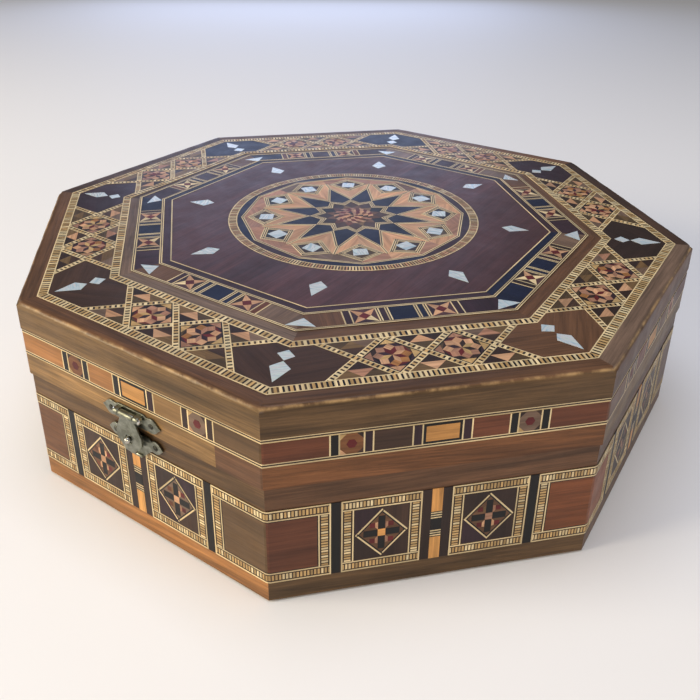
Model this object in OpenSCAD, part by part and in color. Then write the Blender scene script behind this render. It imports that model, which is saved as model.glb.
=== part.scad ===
// Octagonal inlaid wooden box with a hinged lid and a small hasp latch.
// Origin: centre of the octagon, on the surface that the box stands on.
// The latch is on the -Y face, the hinges are on the +Y face, and +Z is up.

/* [Box] */
// Width of the lid across two opposite flats
across_flats = 277; // [262:1:292]
// Overall height of the closed box
box_h = 80; // [78:1:86]
// Height of the seam between the base and the lid
seam_z = 48.95; // [48:0.05:50]
// Gap between the rim of the base and the rim of the lid
seam_gap = 0.3; // [0.2:0.05:0.5]
// How far each side of the base stands back from the lid
base_inset = 0.8; // [0.4:0.1:1]
// Thickness of the mitred side boards
board_t = 10; // [9:0.5:12]
// Thickness of the veneer and marquetry skins
veneer_t = 1; // [0.8:0.1:1.2]
// Radius of the worn top edge of the lid
edge_r = 2; // [1:0.1:2.5]

/* [Panels and lining] */
// Thickness of the felt under the box
felt_t = 0.8; // [0.6:0.1:1.2]
// Thickness of the floor panel
floor_t = 5; // [4:0.5:6]
// Thickness of the lid panel, without its marquetry
lid_panel_t = 7; // [6:0.5:8]
// Thickness of the velvet lining on the walls and under the lid
lining_t = 1; // [0.8:0.1:1.5]
// Thickness of the lining board on the floor
lining_floor_t = 1.5; // [1:0.1:2.5]

/* [Bands on the sides] */
// Height of the top edge of the lower plain band on the base
base_band_1 = 8.9; // [8.5:0.1:9.5]
// Height of the top edge of the framed inlay row on the base
base_band_2 = 39.6; // [39:0.1:40]
// Height of the top edge of the lower plain band on the lid
lid_band_1 = 57.8; // [57:0.1:58.5]
// Height of the top edge of the segmented inlay band on the lid
lid_band_2 = 68.6; // [68:0.1:69.5]
// Height of the strips that form the top edge of the lid
edge_strip_h = 3; // [2.6:0.1:4]

/* [Rings on the lid top] */
// Apothem of the inner side of the walnut edge
ring_edge = 131.7; // [131:0.1:131.8]
// Apothem of the inner side of the outer checker strip
ring_check_out = 127.9; // [127.5:0.1:128.3]
// Apothem of the inner side of the mosaic band
ring_mosaic = 106.6; // [106:0.1:107]
// Apothem of the inner side of the inner checker strip
ring_check_in = 103; // [102.6:0.1:103.4]
// Apothem of the inner side of the plain walnut band
ring_walnut = 98.8; // [98.4:0.1:99.2]
// Apothem of the inner side of the segmented band
ring_segment = 86.5; // [86:0.1:87]
// Apothem of the inner side of the dark band around the field
ring_dark = 83.4; // [83:0.1:84]
// Outer radius of the checker ring of the medallion
medallion_r = 58; // [56:0.5:61]
// Width of the checker ring of the medallion
medallion_ring_w = 4; // [3.5:0.1:5]

/* [Mother of pearl] */
// Distance from the centre to the kites in the field
field_pearl_at = 72; // [70:0.5:76]
// Length of a kite in the field
field_pearl_l = 12; // [11:0.5:15]
// Width of a kite in the field
field_pearl_w = 7.5; // [6:0.5:9]
// Number of squares in the rosette
rosette_count = 12; // [8:1:12]
// Distance from the centre to the squares of the rosette
rosette_pearl_at = 40.2; // [38:0.1:41]
// Side of a square of the rosette
rosette_pearl_side = 6.8; // [5:0.1:7.5]

/* [Hinges] */
// Distance of each hinge from the middle of the back
hinge_x = 60; // [45:1:75]
// Width of a hinge
hinge_w = 24; // [20:1:28]
// Thickness of a hinge leaf
leaf_t = 1; // [0.8:0.1:1.2]
// Outer radius of the hinge knuckles
knuckle_r = 2; // [1.8:0.1:2.2]
// Radius of the hinge pins
hinge_pin_r = 1; // [0.8:0.1:1.1]
// Opening angle at which the stop heels of a hinge meet
stop_deg = 101; // [95:1:110]

/* [Latch] */
// Height of the pin of the hasp
hasp_axis_z = 54.8; // [54.4:0.1:55]
// Distance of the pin of the hasp in front of the lid
hasp_axis_out = 2.2; // [2.1:0.1:2.4]
// Outer radius of the latch knuckles
latch_knuckle_r = 1.3; // [1.2:0.05:1.35]
// Radius of the latch pin
latch_pin_r = 0.5; // [0.4:0.05:0.6]
// Thickness of the latch plates
plate_t = 0.7; // [0.5:0.05:0.8]
// Thickness of the hasp
hasp_t = 0.8; // [0.6:0.05:0.9]
// Height of the catch that the hasp closes over
catch_z = 45; // [44.5:0.1:45.5]
// Radius of the ball of the catch
catch_r = 1.3; // [1.1:0.05:1.35]

/* [Hidden] */
$fn = 48;

sides = 8;
half_angle = 180 / sides;
fit = 0.05;          // clearance of a let-in piece or a screw in its own pocket
over = 1;            // how far a cutter runs past the face that it cuts
mitre_gap = 0.04;    // glue line where two strips or boards meet at a corner

lid_a = across_flats / 2;
base_a = lid_a - base_inset;
lid_core_a = lid_a - veneer_t;
base_core_a = base_a - veneer_t;
lid_in_a = lid_core_a - board_t;
base_in_a = base_core_a - board_t;
base_top = seam_z - seam_gap / 2;
lid_bottom = seam_z + seam_gap / 2;
veneer_z = box_h - veneer_t;
panel_z = veneer_z - lid_panel_t;
edge_z = box_h - edge_strip_h;
floor_top = felt_t + floor_t;
felt_margin = 1.7;   // the felt stops this far inside the sides
lining_drop = 0.5;   // the wall lining stops this far from the rim

walnut = [0.36, 0.26, 0.19];
olive_wood = [0.42, 0.35, 0.24];
light_wood = [0.80, 0.64, 0.40];
red_wood = [0.50, 0.28, 0.18];
rosewood = [0.30, 0.23, 0.22];
shell_white = [0.80, 0.88, 0.93];
velvet = [0.42, 0.06, 0.09];
brass = [0.72, 0.56, 0.28];
old_bronze = [0.42, 0.42, 0.36];
steel = [0.80, 0.80, 0.80];

// A regular octagon with flats facing along X and Y
module octagon(apothem) {
    rotate(half_angle) circle(r = apothem / cos(half_angle), $fn = sides);
}

module octagon_slab(apothem, z0, z1) {
    translate([0, 0, z0]) linear_extrude(z1 - z0) octagon(apothem);
}

// Turns a piece drawn on the latch side to side n, counted anticlockwise from 1
module on_side(n) {
    rotate(360 / sides * (n - 1)) children();
}

// One strip of an octagonal frame, mitred at both ends, on the latch side
module mitred_strip(a_out, a_in, z0, z1) {
    out_half = a_out * tan(half_angle) - mitre_gap / 2;
    in_half = a_in * tan(half_angle) - mitre_gap / 2;
    translate([0, 0, z0]) linear_extrude(z1 - z0)
        polygon([[-out_half, -a_out], [out_half, -a_out], [in_half, -a_in], [-in_half, -a_in]]);
}

// Eight mitred strips that close into a frame
module strip_frame(a_out, a_in, z0, z1) {
    for (n = [1 : sides]) on_side(n) mitred_strip(a_out, a_in, z0, z1);
}

// ---- Hinges -------------------------------------------------------------

back_gap = 0.3;                         // air between the knuckles and the back of the lid
leaf_inset = 1;                         // wood left between a leaf and the lining
leaf_overhang = 0.1;                    // the plain part of a leaf ends just past the back face
hinge_y = lid_a + back_gap + knuckle_r; // the pins run along X behind the lid
leaf_y = lid_in_a + leaf_inset;
leaf_end_y = lid_a + leaf_overhang;
heel_r = knuckle_r + 2.4;               // outer radius of the stop heels
heel_deg = 29;                          // angle that a stop heel covers
heel_slack = 0.5;                       // the base heels stand back this many degrees
heel_root = 0.5;                        // a heel starts this far outside the pin
heel_air = 0.3;                         // air between a base heel and the lid knuckle
knuckle_gap = 0.2;
mid_knuckle_w = hinge_w / 3;
hinge_screw_x = hinge_w / 2 - 4.5;
hinge_screw_y = (leaf_y + base_core_a) / 2;
screw_r = 1;
screw_head_r = 1.9;
screw_l = 9;
slot_w = 0.5;
slot_depth = 0.4;
running = 0.05;                         // radial clearance of a turning pin
held = 0.02;                            // radial clearance of a pin that its knuckle holds

function side_of(n) = n == 1 ? -1 : 1;

module x_cylinder(r, x0, x1, y, z) {
    translate([x0, y, z]) rotate([0, 90, 0]) cylinder(r = r, h = x1 - x0);
}

// Sector of a ring about the hinge axis, from angle a0 to a1 in the YZ plane
module heel(r0, r1, a0, a1, w) {
    steps = 4;
    outer = [for (i = [0 : steps]) let (a = a0 + (a1 - a0) * i / steps) r1 * [cos(a), sin(a)]];
    inner = [for (i = [steps : -1 : 0]) let (a = a0 + (a1 - a0) * i / steps) r0 * [cos(a), sin(a)]];
    translate([-w / 2, hinge_y, seam_z]) rotate([90, 0, 90]) linear_extrude(w)
        polygon(concat(outer, inner));
}

module screw_cut(z, up) {
    for (s = [-1, 1]) translate([s * hinge_screw_x, hinge_screw_y, z]) rotate([up ? 0 : 180, 0, 0]) {
        cylinder(r = screw_r + fit, h = screw_l + fit);
        cylinder(r1 = screw_head_r + fit, r2 = screw_r + fit, h = leaf_t);
    }
}

module hinge_screws(z, up) {
    for (n = [1, 2], s = [-1, 1])
        translate([side_of(n) * hinge_x + s * hinge_screw_x, hinge_screw_y, z])
            rotate([up ? 0 : 180, 0, 0]) difference() {
                union() {
                    cylinder(r = screw_r, h = screw_l);
                    cylinder(r1 = screw_head_r, r2 = screw_r, h = leaf_t);
                }
                translate([-screw_head_r, -slot_w / 2, -over]) cube([2 * screw_head_r, slot_w, over + slot_depth]);
            }
}

module base_leaf() {
    end_w = (hinge_w - mid_knuckle_w) / 2 - knuckle_gap;
    heel_from = -stop_deg / 2 - heel_slack - heel_deg;
    difference() {
        union() {
            translate([-hinge_w / 2, leaf_y, base_top - leaf_t])
                cube([hinge_w, leaf_end_y - leaf_y, leaf_t]);
            for (s = [-1, 1]) {
                x0 = s < 0 ? -hinge_w / 2 : hinge_w / 2 - end_w;
                x_cylinder(knuckle_r, x0, x0 + end_w, hinge_y, seam_z);
                translate([x0, leaf_end_y - fit, base_top - leaf_t])
                    cube([end_w, hinge_y - leaf_end_y, leaf_t]);
                translate([x0 + end_w / 2, 0, 0])
                    heel(hinge_pin_r + heel_root, heel_r, heel_from, heel_from + heel_deg, end_w);
            }
            heel(knuckle_r + heel_air, heel_r, heel_from, heel_from + heel_deg, hinge_w);
        }
        x_cylinder(hinge_pin_r + held, -hinge_w, hinge_w, hinge_y, seam_z);
        screw_cut(base_top, false);
    }
}

module lid_leaf() {
    difference() {
        union() {
            translate([-hinge_w / 2, leaf_y, lid_bottom])
                cube([hinge_w, leaf_end_y - leaf_y, leaf_t]);
            x_cylinder(knuckle_r, -mid_knuckle_w / 2, mid_knuckle_w / 2, hinge_y, seam_z);
            translate([-mid_knuckle_w / 2, leaf_end_y - fit, lid_bottom])
                cube([mid_knuckle_w, hinge_y - leaf_end_y, leaf_t]);
            heel(hinge_pin_r + heel_root, heel_r, stop_deg / 2, stop_deg / 2 + heel_deg, mid_knuckle_w);
        }
        x_cylinder(hinge_pin_r + running, -hinge_w, hinge_w, hinge_y, seam_z);
        screw_cut(lid_bottom, true);
    }
}

module hinge_base_leaf(n) {
    color(brass) translate([side_of(n) * hinge_x, 0, 0]) base_leaf();
}

module hinge_lid_leaf(n) {
    color(brass) translate([side_of(n) * hinge_x, 0, 0]) lid_leaf();
}

module hinge_pin(n) {
    x = side_of(n) * hinge_x;
    color(brass) x_cylinder(hinge_pin_r, x - hinge_w / 2, x + hinge_w / 2, hinge_y, seam_z);
}

module hinge_screws_base() {
    color(brass) hinge_screws(base_top, false);
}

module hinge_screws_lid() {
    color(brass) hinge_screws(lid_bottom, true);
}

// Pockets and screw holes for both leaves, in the base (up false) or the lid (up true)
module hinge_pockets(z, up) {
    for (n = [1, 2]) translate([side_of(n) * hinge_x, 0, 0]) {
        translate([-hinge_w / 2 - fit, leaf_y - fit, up ? z - over : z - leaf_t])
            cube([hinge_w + 2 * fit, lid_a + over - leaf_y, leaf_t + over]);
        screw_cut(z, up);
    }
}

// ---- Latch --------------------------------------------------------------

lobe_x = 9.7;            // nails of both plates, either side of the middle
lid_lobe_z = hasp_axis_z - 1.5;
base_lobe_z = catch_z - 1.4;
lid_lobe_r = 3;
base_lobe_r = 2.6;
lid_plate_w = 16;
lid_plate_h = 6.3;
lid_plate_low = hasp_axis_z - 4.4;
lip_half_w = 3;          // half the width of the rolled lip under the base plate
lip_below = 8;           // the lip lies this far below the catch
web_h = 1.8;             // height of the tab that carries an end knuckle
nail_r = 0.5;
nail_l = 6;
nail_head_r = 1.1;
nail_head_h = 0.35;
hasp_w = 7;              // width of the hasp at its knuckle
hasp_hole_r = 1.7;
end_knuckle_w = 2.2;
pin_head_r = 1.1;
pin_head_h = 0.8;
cutter_l = 8;            // long enough to pass through every part of the latch
catch_shank_r = 0.9;
catch_out = 3.1;         // the ball stands this far in front of the lid face
base_plate_out = -base_inset;

// A flat outline drawn in X and Z, from out0 to out1 in front of the lid face
module plate(out0, out1) {
    translate([0, -lid_a - out0, 0]) rotate([90, 0, 0]) linear_extrude(out1 - out0) children();
}

// A leaf-shaped lobe for one nail
module lobe(x, z, r) {
    translate([x, z]) circle(r = r);
    translate([x + sign(x) * r * 0.85, z]) rotate(45) square(r * 0.9, center = true);
}

module nail_holes(z) {
    for (s = [-1, 1]) translate([s * lobe_x, -lid_a - 2 * over, z])
        rotate([-90, 0, 0]) cylinder(r = nail_r + fit, h = nail_l + 3 * over + fit, $fn = 24);
}

module nails(z, out) {
    for (s = [-1, 1]) translate([s * lobe_x, -lid_a - out, z]) {
        rotate([-90, 0, 0]) cylinder(r = nail_r, h = nail_l, $fn = 24);
        rotate([90, 0, 0]) cylinder(r1 = nail_head_r, r2 = nail_head_r * 0.6, h = nail_head_h, $fn = 24);
    }
}

module latch_lid_plate() {
    color(old_bronze) difference() {
        union() {
            plate(0, plate_t) {
                translate([-lid_plate_w / 2, lid_plate_low]) square([lid_plate_w, lid_plate_h]);
                for (s = [-1, 1]) lobe(s * lobe_x, lid_lobe_z, lid_lobe_r);
            }
            for (s = [-1, 1]) {
                x0 = s < 0 ? -hasp_w / 2 - knuckle_gap - end_knuckle_w : hasp_w / 2 + knuckle_gap;
                x_cylinder(latch_knuckle_r, x0, x0 + end_knuckle_w, -lid_a - hasp_axis_out, hasp_axis_z);
                translate([x0, -lid_a - hasp_axis_out, hasp_axis_z - web_h / 2])
                    cube([end_knuckle_w, hasp_axis_out - plate_t / 2, web_h]);
            }
        }
        x_cylinder(latch_pin_r + held, -cutter_l, cutter_l, -lid_a - hasp_axis_out, hasp_axis_z);
        nail_holes(lid_lobe_z);
    }
}

// Half of the outline of the hasp: distance from its middle, and height above the catch
hasp_half = [[3.6, 8.2], [6.2, 2.2], [6.1, -0.6], [2.9, -4.4]];
hasp_tip_r = 2.9;
hasp_tip_below = 2.7;

module hasp_outline() {
    left = [for (i = [len(hasp_half) - 1 : -1 : 0]) [-hasp_half[i][0], hasp_half[i][1]]];
    knuckle_line = hasp_axis_z - catch_z;
    translate([0, catch_z]) {
        polygon(concat([[-hasp_w / 2, knuckle_line], [hasp_w / 2, knuckle_line]], hasp_half, left));
        translate([0, -hasp_tip_below]) circle(r = hasp_tip_r);
    }
}

module latch_hasp() {
    color(old_bronze) difference() {
        union() {
            plate(hasp_axis_out - hasp_t / 2, hasp_axis_out + hasp_t / 2) hasp_outline();
            x_cylinder(latch_knuckle_r, -hasp_w / 2, hasp_w / 2, -lid_a - hasp_axis_out, hasp_axis_z);
        }
        x_cylinder(latch_pin_r + running, -cutter_l, cutter_l, -lid_a - hasp_axis_out, hasp_axis_z);
        translate([0, -lid_a + over, catch_z]) rotate([90, 0, 0]) cylinder(r = hasp_hole_r, h = cutter_l);
    }
}

// The pin with a domed head at each end, turned from half of its section
module latch_pin() {
    end_x = hasp_w / 2 + knuckle_gap + end_knuckle_w + fit;
    steps = 4;
    dome = [for (i = [0 : steps]) let (a = 90 * i / steps)
        [pin_head_r * cos(a), end_x + pin_head_h * sin(a)]];
    foot = [for (i = [steps : -1 : 0]) [dome[i][0], -dome[i][1]]];
    color(steel) translate([0, -lid_a - hasp_axis_out, hasp_axis_z]) rotate([0, 90, 0]) rotate_extrude()
        polygon(concat([[0, 0]], foot, [[latch_pin_r, -end_x], [latch_pin_r, end_x]], dome));
}

module latch_base_plate() {
    lip_z = catch_z - lip_below;
    color(old_bronze) difference() {
        union() {
            plate(base_plate_out, base_plate_out + plate_t) {
                translate([0, catch_z]) polygon([
                    [-7, 1.4], [7, 1.4], [7.6, -3.6],
                    [lip_half_w, -lip_below], [-lip_half_w, -lip_below], [-7.6, -3.6]
                ]);
                for (s = [-1, 1]) lobe(s * lobe_x, base_lobe_z, base_lobe_r);
            }
            x_cylinder(plate_t, -lip_half_w, lip_half_w, -lid_a - base_plate_out - plate_t, lip_z);
        }
        nail_holes(base_lobe_z);
        translate([0, -lid_a, catch_z]) rotate([90, 0, 0])
            cylinder(r = catch_shank_r + fit, h = cutter_l, center = true);
    }
}

module latch_catch() {
    color(steel) {
        translate([0, -lid_a + nail_l, catch_z]) rotate([90, 0, 0])
            cylinder(r = catch_shank_r, h = nail_l + catch_out);
        translate([0, -lid_a - catch_out, catch_z]) sphere(r = catch_r);
    }
}

module catch_hole() {
    translate([0, -lid_a - over, catch_z]) rotate([-90, 0, 0])
        cylinder(r = catch_shank_r + fit, h = nail_l + over + fit);
}

module latch_nails_base() {
    color(old_bronze) nails(base_lobe_z, base_plate_out + plate_t);
}

module latch_nails_lid() {
    color(old_bronze) nails(lid_lobe_z, plate_t);
}

// ---- Base ---------------------------------------------------------------

module base_felt() {
    color([0.12, 0.25, 0.16]) octagon_slab(base_a - felt_margin, 0, felt_t);
}

module base_floor() {
    color(light_wood) octagon_slab(base_in_a, felt_t, floor_top);
}

module base_fixings() {
    hinge_pockets(base_top, false);
    nail_holes(base_lobe_z);
    catch_hole();
}

module base_board(n) {
    color(light_wood) difference() {
        on_side(n) mitred_strip(base_core_a, base_in_a, felt_t, base_top);
        base_fixings();
    }
}

module base_lower_band() {
    color(walnut) strip_frame(base_a, base_core_a, felt_t, base_band_1);
}

module base_inlay_row() {
    color(red_wood) strip_frame(base_a, base_core_a, base_band_1, base_band_2);
}

module base_upper_band() {
    color(walnut) difference() {
        strip_frame(base_a, base_core_a, base_band_2, base_top);
        base_fixings();
    }
}

module base_lining_floor() {
    color(velvet) octagon_slab(base_in_a - lining_t - fit, floor_top, floor_top + lining_floor_t);
}

module base_lining_walls() {
    color(velvet) strip_frame(base_in_a, base_in_a - lining_t, floor_top, base_top - lining_drop);
}

// ---- Lid ----------------------------------------------------------------

module lid_fixings() {
    hinge_pockets(lid_bottom, true);
    nail_holes(lid_lobe_z);
}

module lid_board(n) {
    color(light_wood) difference() {
        on_side(n) mitred_strip(lid_core_a, lid_in_a, lid_bottom, panel_z);
        lid_fixings();
    }
}

module lid_panel() {
    color(light_wood) {
        octagon_slab(lid_core_a, panel_z, edge_z);
        octagon_slab(ring_edge, edge_z - fit, veneer_z);
    }
}

module lid_lower_band() {
    color(olive_wood) difference() {
        strip_frame(lid_a, lid_core_a, lid_bottom, lid_band_1);
        lid_fixings();
    }
}

module lid_inlay_band() {
    color(red_wood) strip_frame(lid_a, lid_core_a, lid_band_1, lid_band_2);
}

module lid_upper_band() {
    color(olive_wood) strip_frame(lid_a, lid_core_a, lid_band_2, edge_z);
}

// Section of an edge strip, with its rounded top corner, drawn in distance and height
module edge_section() {
    steps = 5;
    round_edge = [for (i = [0 : steps]) let (a = 90 * i / steps)
        [lid_a - edge_r + edge_r * cos(a), box_h - edge_r + edge_r * sin(a)]];
    polygon(concat([[ring_edge, edge_z], [lid_a, edge_z]], round_edge, [[ring_edge, box_h]]));
}

module lid_edge_strips() {
    half = lid_a * tan(half_angle);
    color(walnut) for (n = [1 : sides]) on_side(n) intersection() {
        translate([half, 0, 0]) rotate([90, 0, -90]) linear_extrude(2 * half) edge_section();
        mitred_strip(lid_a + over, ring_edge - over, edge_z - over, box_h + over);
    }
}

module lid_lining_panel() {
    color(velvet) octagon_slab(lid_in_a - lining_t - fit, panel_z - lining_t, panel_z);
}

module lid_lining_walls() {
    color(velvet) strip_frame(lid_in_a, lid_in_a - lining_t, lid_bottom + lining_drop, panel_z);
}

// ---- Marquetry on the lid top -------------------------------------------

// A kite with its long point outwards and its widest place at distance r along X
module kite(r, l, w, peak = 0.35) {
    polygon([[r - l * peak, 0], [r, w / 2], [r + l * (1 - peak), 0], [r, -w / 2]]);
}

corner_rhomb_at = 120;       // distances along the corner directions
corner_rhomb_l = 6.6;
corner_rhomb_w = 6.2;
corner_kite_at = 127.7;
corner_kite_l = 12.3;
corner_kite_w = 6.8;
corner_kite_peak = 0.31;     // share of the kite's length before its widest place
corner_triangle_at = 100.5;
corner_triangle_l = 5.7;
corner_triangle_w = 10.4;
rosette_turn = 7.5;          // turns the first square of the rosette off the X axis

module corner_pearl_shapes() {
    for (n = [1 : sides]) rotate(360 / sides * (n - 0.5)) {
        kite(corner_rhomb_at, corner_rhomb_l, corner_rhomb_w, 0.5);
        kite(corner_kite_at, corner_kite_l, corner_kite_w, corner_kite_peak);
        kite(corner_triangle_at, corner_triangle_l, corner_triangle_w, 1);
    }
}

module field_pearl_shapes() {
    for (n = [1 : sides]) rotate(360 / sides * (n - 0.5))
        kite(field_pearl_at, field_pearl_l, field_pearl_w);
}

module rosette_pearl_shapes() {
    for (n = [1 : rosette_count]) rotate(360 / rosette_count * n + rosette_turn)
        translate([rosette_pearl_at, 0]) square(rosette_pearl_side, center = true);
}

// Extrudes a flat piece through the thickness of the marquetry
module inlay(z0 = veneer_z, z1 = box_h) {
    translate([0, 0, z0]) linear_extrude(z1 - z0) children();
}

module through_inlay() {
    inlay(veneer_z - over, box_h + over) children();
}

module top_outer_checker() {
    color(light_wood) strip_frame(ring_edge, ring_check_out, veneer_z, box_h);
}

module top_mosaic_band() {
    color(red_wood) difference() {
        strip_frame(ring_check_out, ring_mosaic, veneer_z, box_h);
        through_inlay() corner_pearl_shapes();
    }
}

module top_inner_checker() {
    color(light_wood) strip_frame(ring_mosaic, ring_check_in, veneer_z, box_h);
}

module top_walnut_band() {
    color(walnut) strip_frame(ring_check_in, ring_walnut, veneer_z, box_h);
}

module top_segment_band() {
    color(light_wood) difference() {
        strip_frame(ring_walnut, ring_segment, veneer_z, box_h);
        through_inlay() corner_pearl_shapes();
    }
}

module top_dark_band() {
    color(rosewood) strip_frame(ring_segment, ring_dark, veneer_z, box_h);
}

module top_field() {
    color(rosewood) difference() {
        octagon_slab(ring_dark, veneer_z, box_h);
        through_inlay() circle(r = medallion_r, $fn = 96);
        through_inlay() field_pearl_shapes();
    }
}

module medallion_ring() {
    color(light_wood) inlay() difference() {
        circle(r = medallion_r, $fn = 96);
        circle(r = medallion_r - medallion_ring_w, $fn = 96);
    }
}

module medallion_rosette() {
    color(red_wood) difference() {
        inlay() circle(r = medallion_r - medallion_ring_w, $fn = 96);
        through_inlay() rosette_pearl_shapes();
    }
}

module field_pearls() {
    color(shell_white) inlay() field_pearl_shapes();
}

module rosette_pearls() {
    color(shell_white) inlay() rosette_pearl_shapes();
}

module corner_pearls() {
    color(shell_white) inlay() corner_pearl_shapes();
}

base_felt();
base_floor();
base_board(1);  // base_board_1
base_board(2);  // base_board_2
base_board(3);  // base_board_3
base_board(4);  // base_board_4
base_board(5);  // base_board_5
base_board(6);  // base_board_6
base_board(7);  // base_board_7
base_board(8);  // base_board_8
base_lower_band();
base_inlay_row();
base_upper_band();
base_lining_floor();
base_lining_walls();
lid_board(1);  // lid_board_1
lid_board(2);  // lid_board_2
lid_board(3);  // lid_board_3
lid_board(4);  // lid_board_4
lid_board(5);  // lid_board_5
lid_board(6);  // lid_board_6
lid_board(7);  // lid_board_7
lid_board(8);  // lid_board_8
lid_panel();
lid_lower_band();
lid_inlay_band();
lid_upper_band();
lid_edge_strips();
lid_lining_panel();
lid_lining_walls();
top_outer_checker();
top_mosaic_band();
top_inner_checker();
top_walnut_band();
top_segment_band();
top_dark_band();
top_field();
medallion_ring();
medallion_rosette();
field_pearls();
rosette_pearls();
corner_pearls();
hinge_base_leaf(1);  // hinge_1_base_leaf
hinge_lid_leaf(1);  // hinge_1_lid_leaf
hinge_pin(1);  // hinge_1_pin
hinge_base_leaf(2);  // hinge_2_base_leaf
hinge_lid_leaf(2);  // hinge_2_lid_leaf
hinge_pin(2);  // hinge_2_pin
hinge_screws_base();
hinge_screws_lid();
latch_lid_plate();
latch_hasp();
latch_pin();
latch_base_plate();
latch_catch();
latch_nails_base();
latch_nails_lid();
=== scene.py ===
"""Looks of the octagonal inlaid box: marquetry tiles, veneers, shell, velvet lining and hardware."""
import math
import random

import bmesh
import bpy
from mathutils import Euler, Matrix, Vector, noise


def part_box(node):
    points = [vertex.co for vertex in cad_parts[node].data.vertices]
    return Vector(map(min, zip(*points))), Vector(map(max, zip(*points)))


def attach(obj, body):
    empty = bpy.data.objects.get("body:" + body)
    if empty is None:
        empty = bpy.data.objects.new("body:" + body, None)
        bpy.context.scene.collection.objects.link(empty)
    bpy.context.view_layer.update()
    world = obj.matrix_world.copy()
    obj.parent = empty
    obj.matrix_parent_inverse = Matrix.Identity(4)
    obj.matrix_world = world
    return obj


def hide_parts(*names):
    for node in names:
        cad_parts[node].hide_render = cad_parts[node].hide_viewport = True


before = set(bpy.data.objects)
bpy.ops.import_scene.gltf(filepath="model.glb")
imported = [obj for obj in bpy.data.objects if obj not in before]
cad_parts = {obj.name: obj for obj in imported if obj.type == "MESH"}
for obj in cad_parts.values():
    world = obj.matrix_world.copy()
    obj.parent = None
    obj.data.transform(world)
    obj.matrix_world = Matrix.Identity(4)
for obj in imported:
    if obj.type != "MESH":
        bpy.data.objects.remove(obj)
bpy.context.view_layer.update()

rng = random.Random(20)

# ---- Sizes, in millimetres, read from the frame --------------------------


def reach(node):
    """How far a node reaches from the centre towards the back."""
    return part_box(node)[1][1] * 1000


def low(node):
    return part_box(node)[0][2] * 1000


def high(node):
    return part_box(node)[1][2] * 1000


SIDES = 8
HALF_TAN = math.tan(math.pi / SIDES)
LID_A = reach("lid_lower_band")
BASE_A = reach("base_lower_band")
EDGE_IN = reach("top_outer_checker")
CHECK_OUT_IN = reach("top_mosaic_band")
MOSAIC_IN = reach("top_inner_checker")
CHECK_IN_IN = reach("top_walnut_band")
WALNUT_IN = reach("top_segment_band")
SEGMENT_IN = reach("top_dark_band")
DARK_IN = reach("top_field")
RING_R = reach("medallion_ring")
ROSETTE_R = reach("medallion_rosette")
TOP_Z = high("top_field")
SKIN_T = TOP_Z - low("top_field")
CORNER_R = LID_A / math.cos(math.pi / SIDES)

LINE = 0.42          # thickness of a thin cream line
CHECK_PITCH = 1.3    # one light and one dark block of a checker strip
DARK_SHARE = 0.42    # how much of the pitch the dark block takes
CHECK_DARKS = ("black", "dark_brown", "black", "olive_dark")
CHECK_LIGHTS = ("cream", "straw")

# Levels below the top of the skin, so that laid-over pieces never share a surface
GROUND = -0.08
TILE = -0.045
STRIP = -0.02
FLUSH = 0.0

# ---- Colours of the woods -------------------------------------------------

WOODS = {
    "cream": (208, 188, 146),
    "straw": (176, 146, 98),
    "tan": (184, 142, 108),
    "orange": (190, 138, 78),
    "honey": (148, 102, 58),
    "gold": (130, 100, 62),
    "pink": (152, 112, 90),
    "taupe": (106, 86, 72),
    "red_brown": (120, 68, 38),
    "chestnut": (108, 70, 42),
    "rust": (92, 52, 34),
    "maroon": (88, 24, 26),
    "walnut": (92, 64, 44),
    "umber": (86, 65, 42),
    "walnut_dark": (62, 43, 33),
    "olive": (106, 82, 52),
    "olive_dark": (72, 56, 36),
    "rosewood": (72, 46, 48),
    "dark_brown": (44, 29, 24),
    "plum": (46, 28, 36),
    "black": (15, 13, 14),
    "navy": (9, 19, 46),
    # light colour of the rubbed lid corner: bare wood showing through, and a painted highlight
    "worn": (172, 140, 96),
}


def linear(value):
    value /= 255
    return value / 12.92 if value <= 0.04045 else ((value + 0.055) / 1.055) ** 2.4


def rgba(colour):
    return tuple(linear(v) for v in colour) + (1.0,)


def tone(wood, spread):
    """A wood's colour in linear light, a little lighter or darker each time."""
    shade = 1 + rng.uniform(-spread, spread)
    warm = 1 + rng.uniform(-spread, spread) * 0.3
    r, g, b = (linear(v) for v in WOODS[wood])
    return (min(1, r * shade * warm), min(1, g * shade), min(1, b * shade / warm), 1.0)


# ---- Flat geometry --------------------------------------------------------


def area(poly):
    return sum(a[0] * b[1] - b[0] * a[1] for a, b in zip(poly, poly[1:] + poly[:1])) / 2


def anticlockwise(poly):
    return list(poly) if area(poly) > 0 else list(reversed(poly))


def clip(poly, region):
    """The part of a convex polygon inside a convex anticlockwise region."""
    out = list(poly)
    for a, b in zip(region, region[1:] + region[:1]):
        if not out:
            return []

        def inside(p):
            return (b[0] - a[0]) * (p[1] - a[1]) - (b[1] - a[1]) * (p[0] - a[0])

        kept = []
        for p, q in zip(out, out[1:] + out[:1]):
            dp, dq = inside(p), inside(q)
            if dp >= 0:
                kept.append(p)
            if (dp >= 0) != (dq >= 0):
                t = dp / (dp - dq)
                kept.append((p[0] + (q[0] - p[0]) * t, p[1] + (q[1] - p[1]) * t))
        out = kept
    return out


def bar(p, q, left, right):
    """The stretch of a straight strip from p to q, between two offsets to its left."""
    dx, dy = q[0] - p[0], q[1] - p[1]
    length = math.hypot(dx, dy)
    nx, ny = -dy / length, dx / length
    return [
        (p[0] + nx * left, p[1] + ny * left),
        (q[0] + nx * left, q[1] + ny * left),
        (q[0] + nx * right, q[1] + ny * right),
        (p[0] + nx * right, p[1] + ny * right),
    ]


def box2(x0, y0, x1, y1):
    return [(x0, y0), (x1, y0), (x1, y1), (x0, y1)]


def polar(r, degrees):
    a = math.radians(degrees)
    return (r * math.cos(a), r * math.sin(a))


def along(p, q, t):
    return (p[0] + (q[0] - p[0]) * t, p[1] + (q[1] - p[1]) * t)


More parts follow.
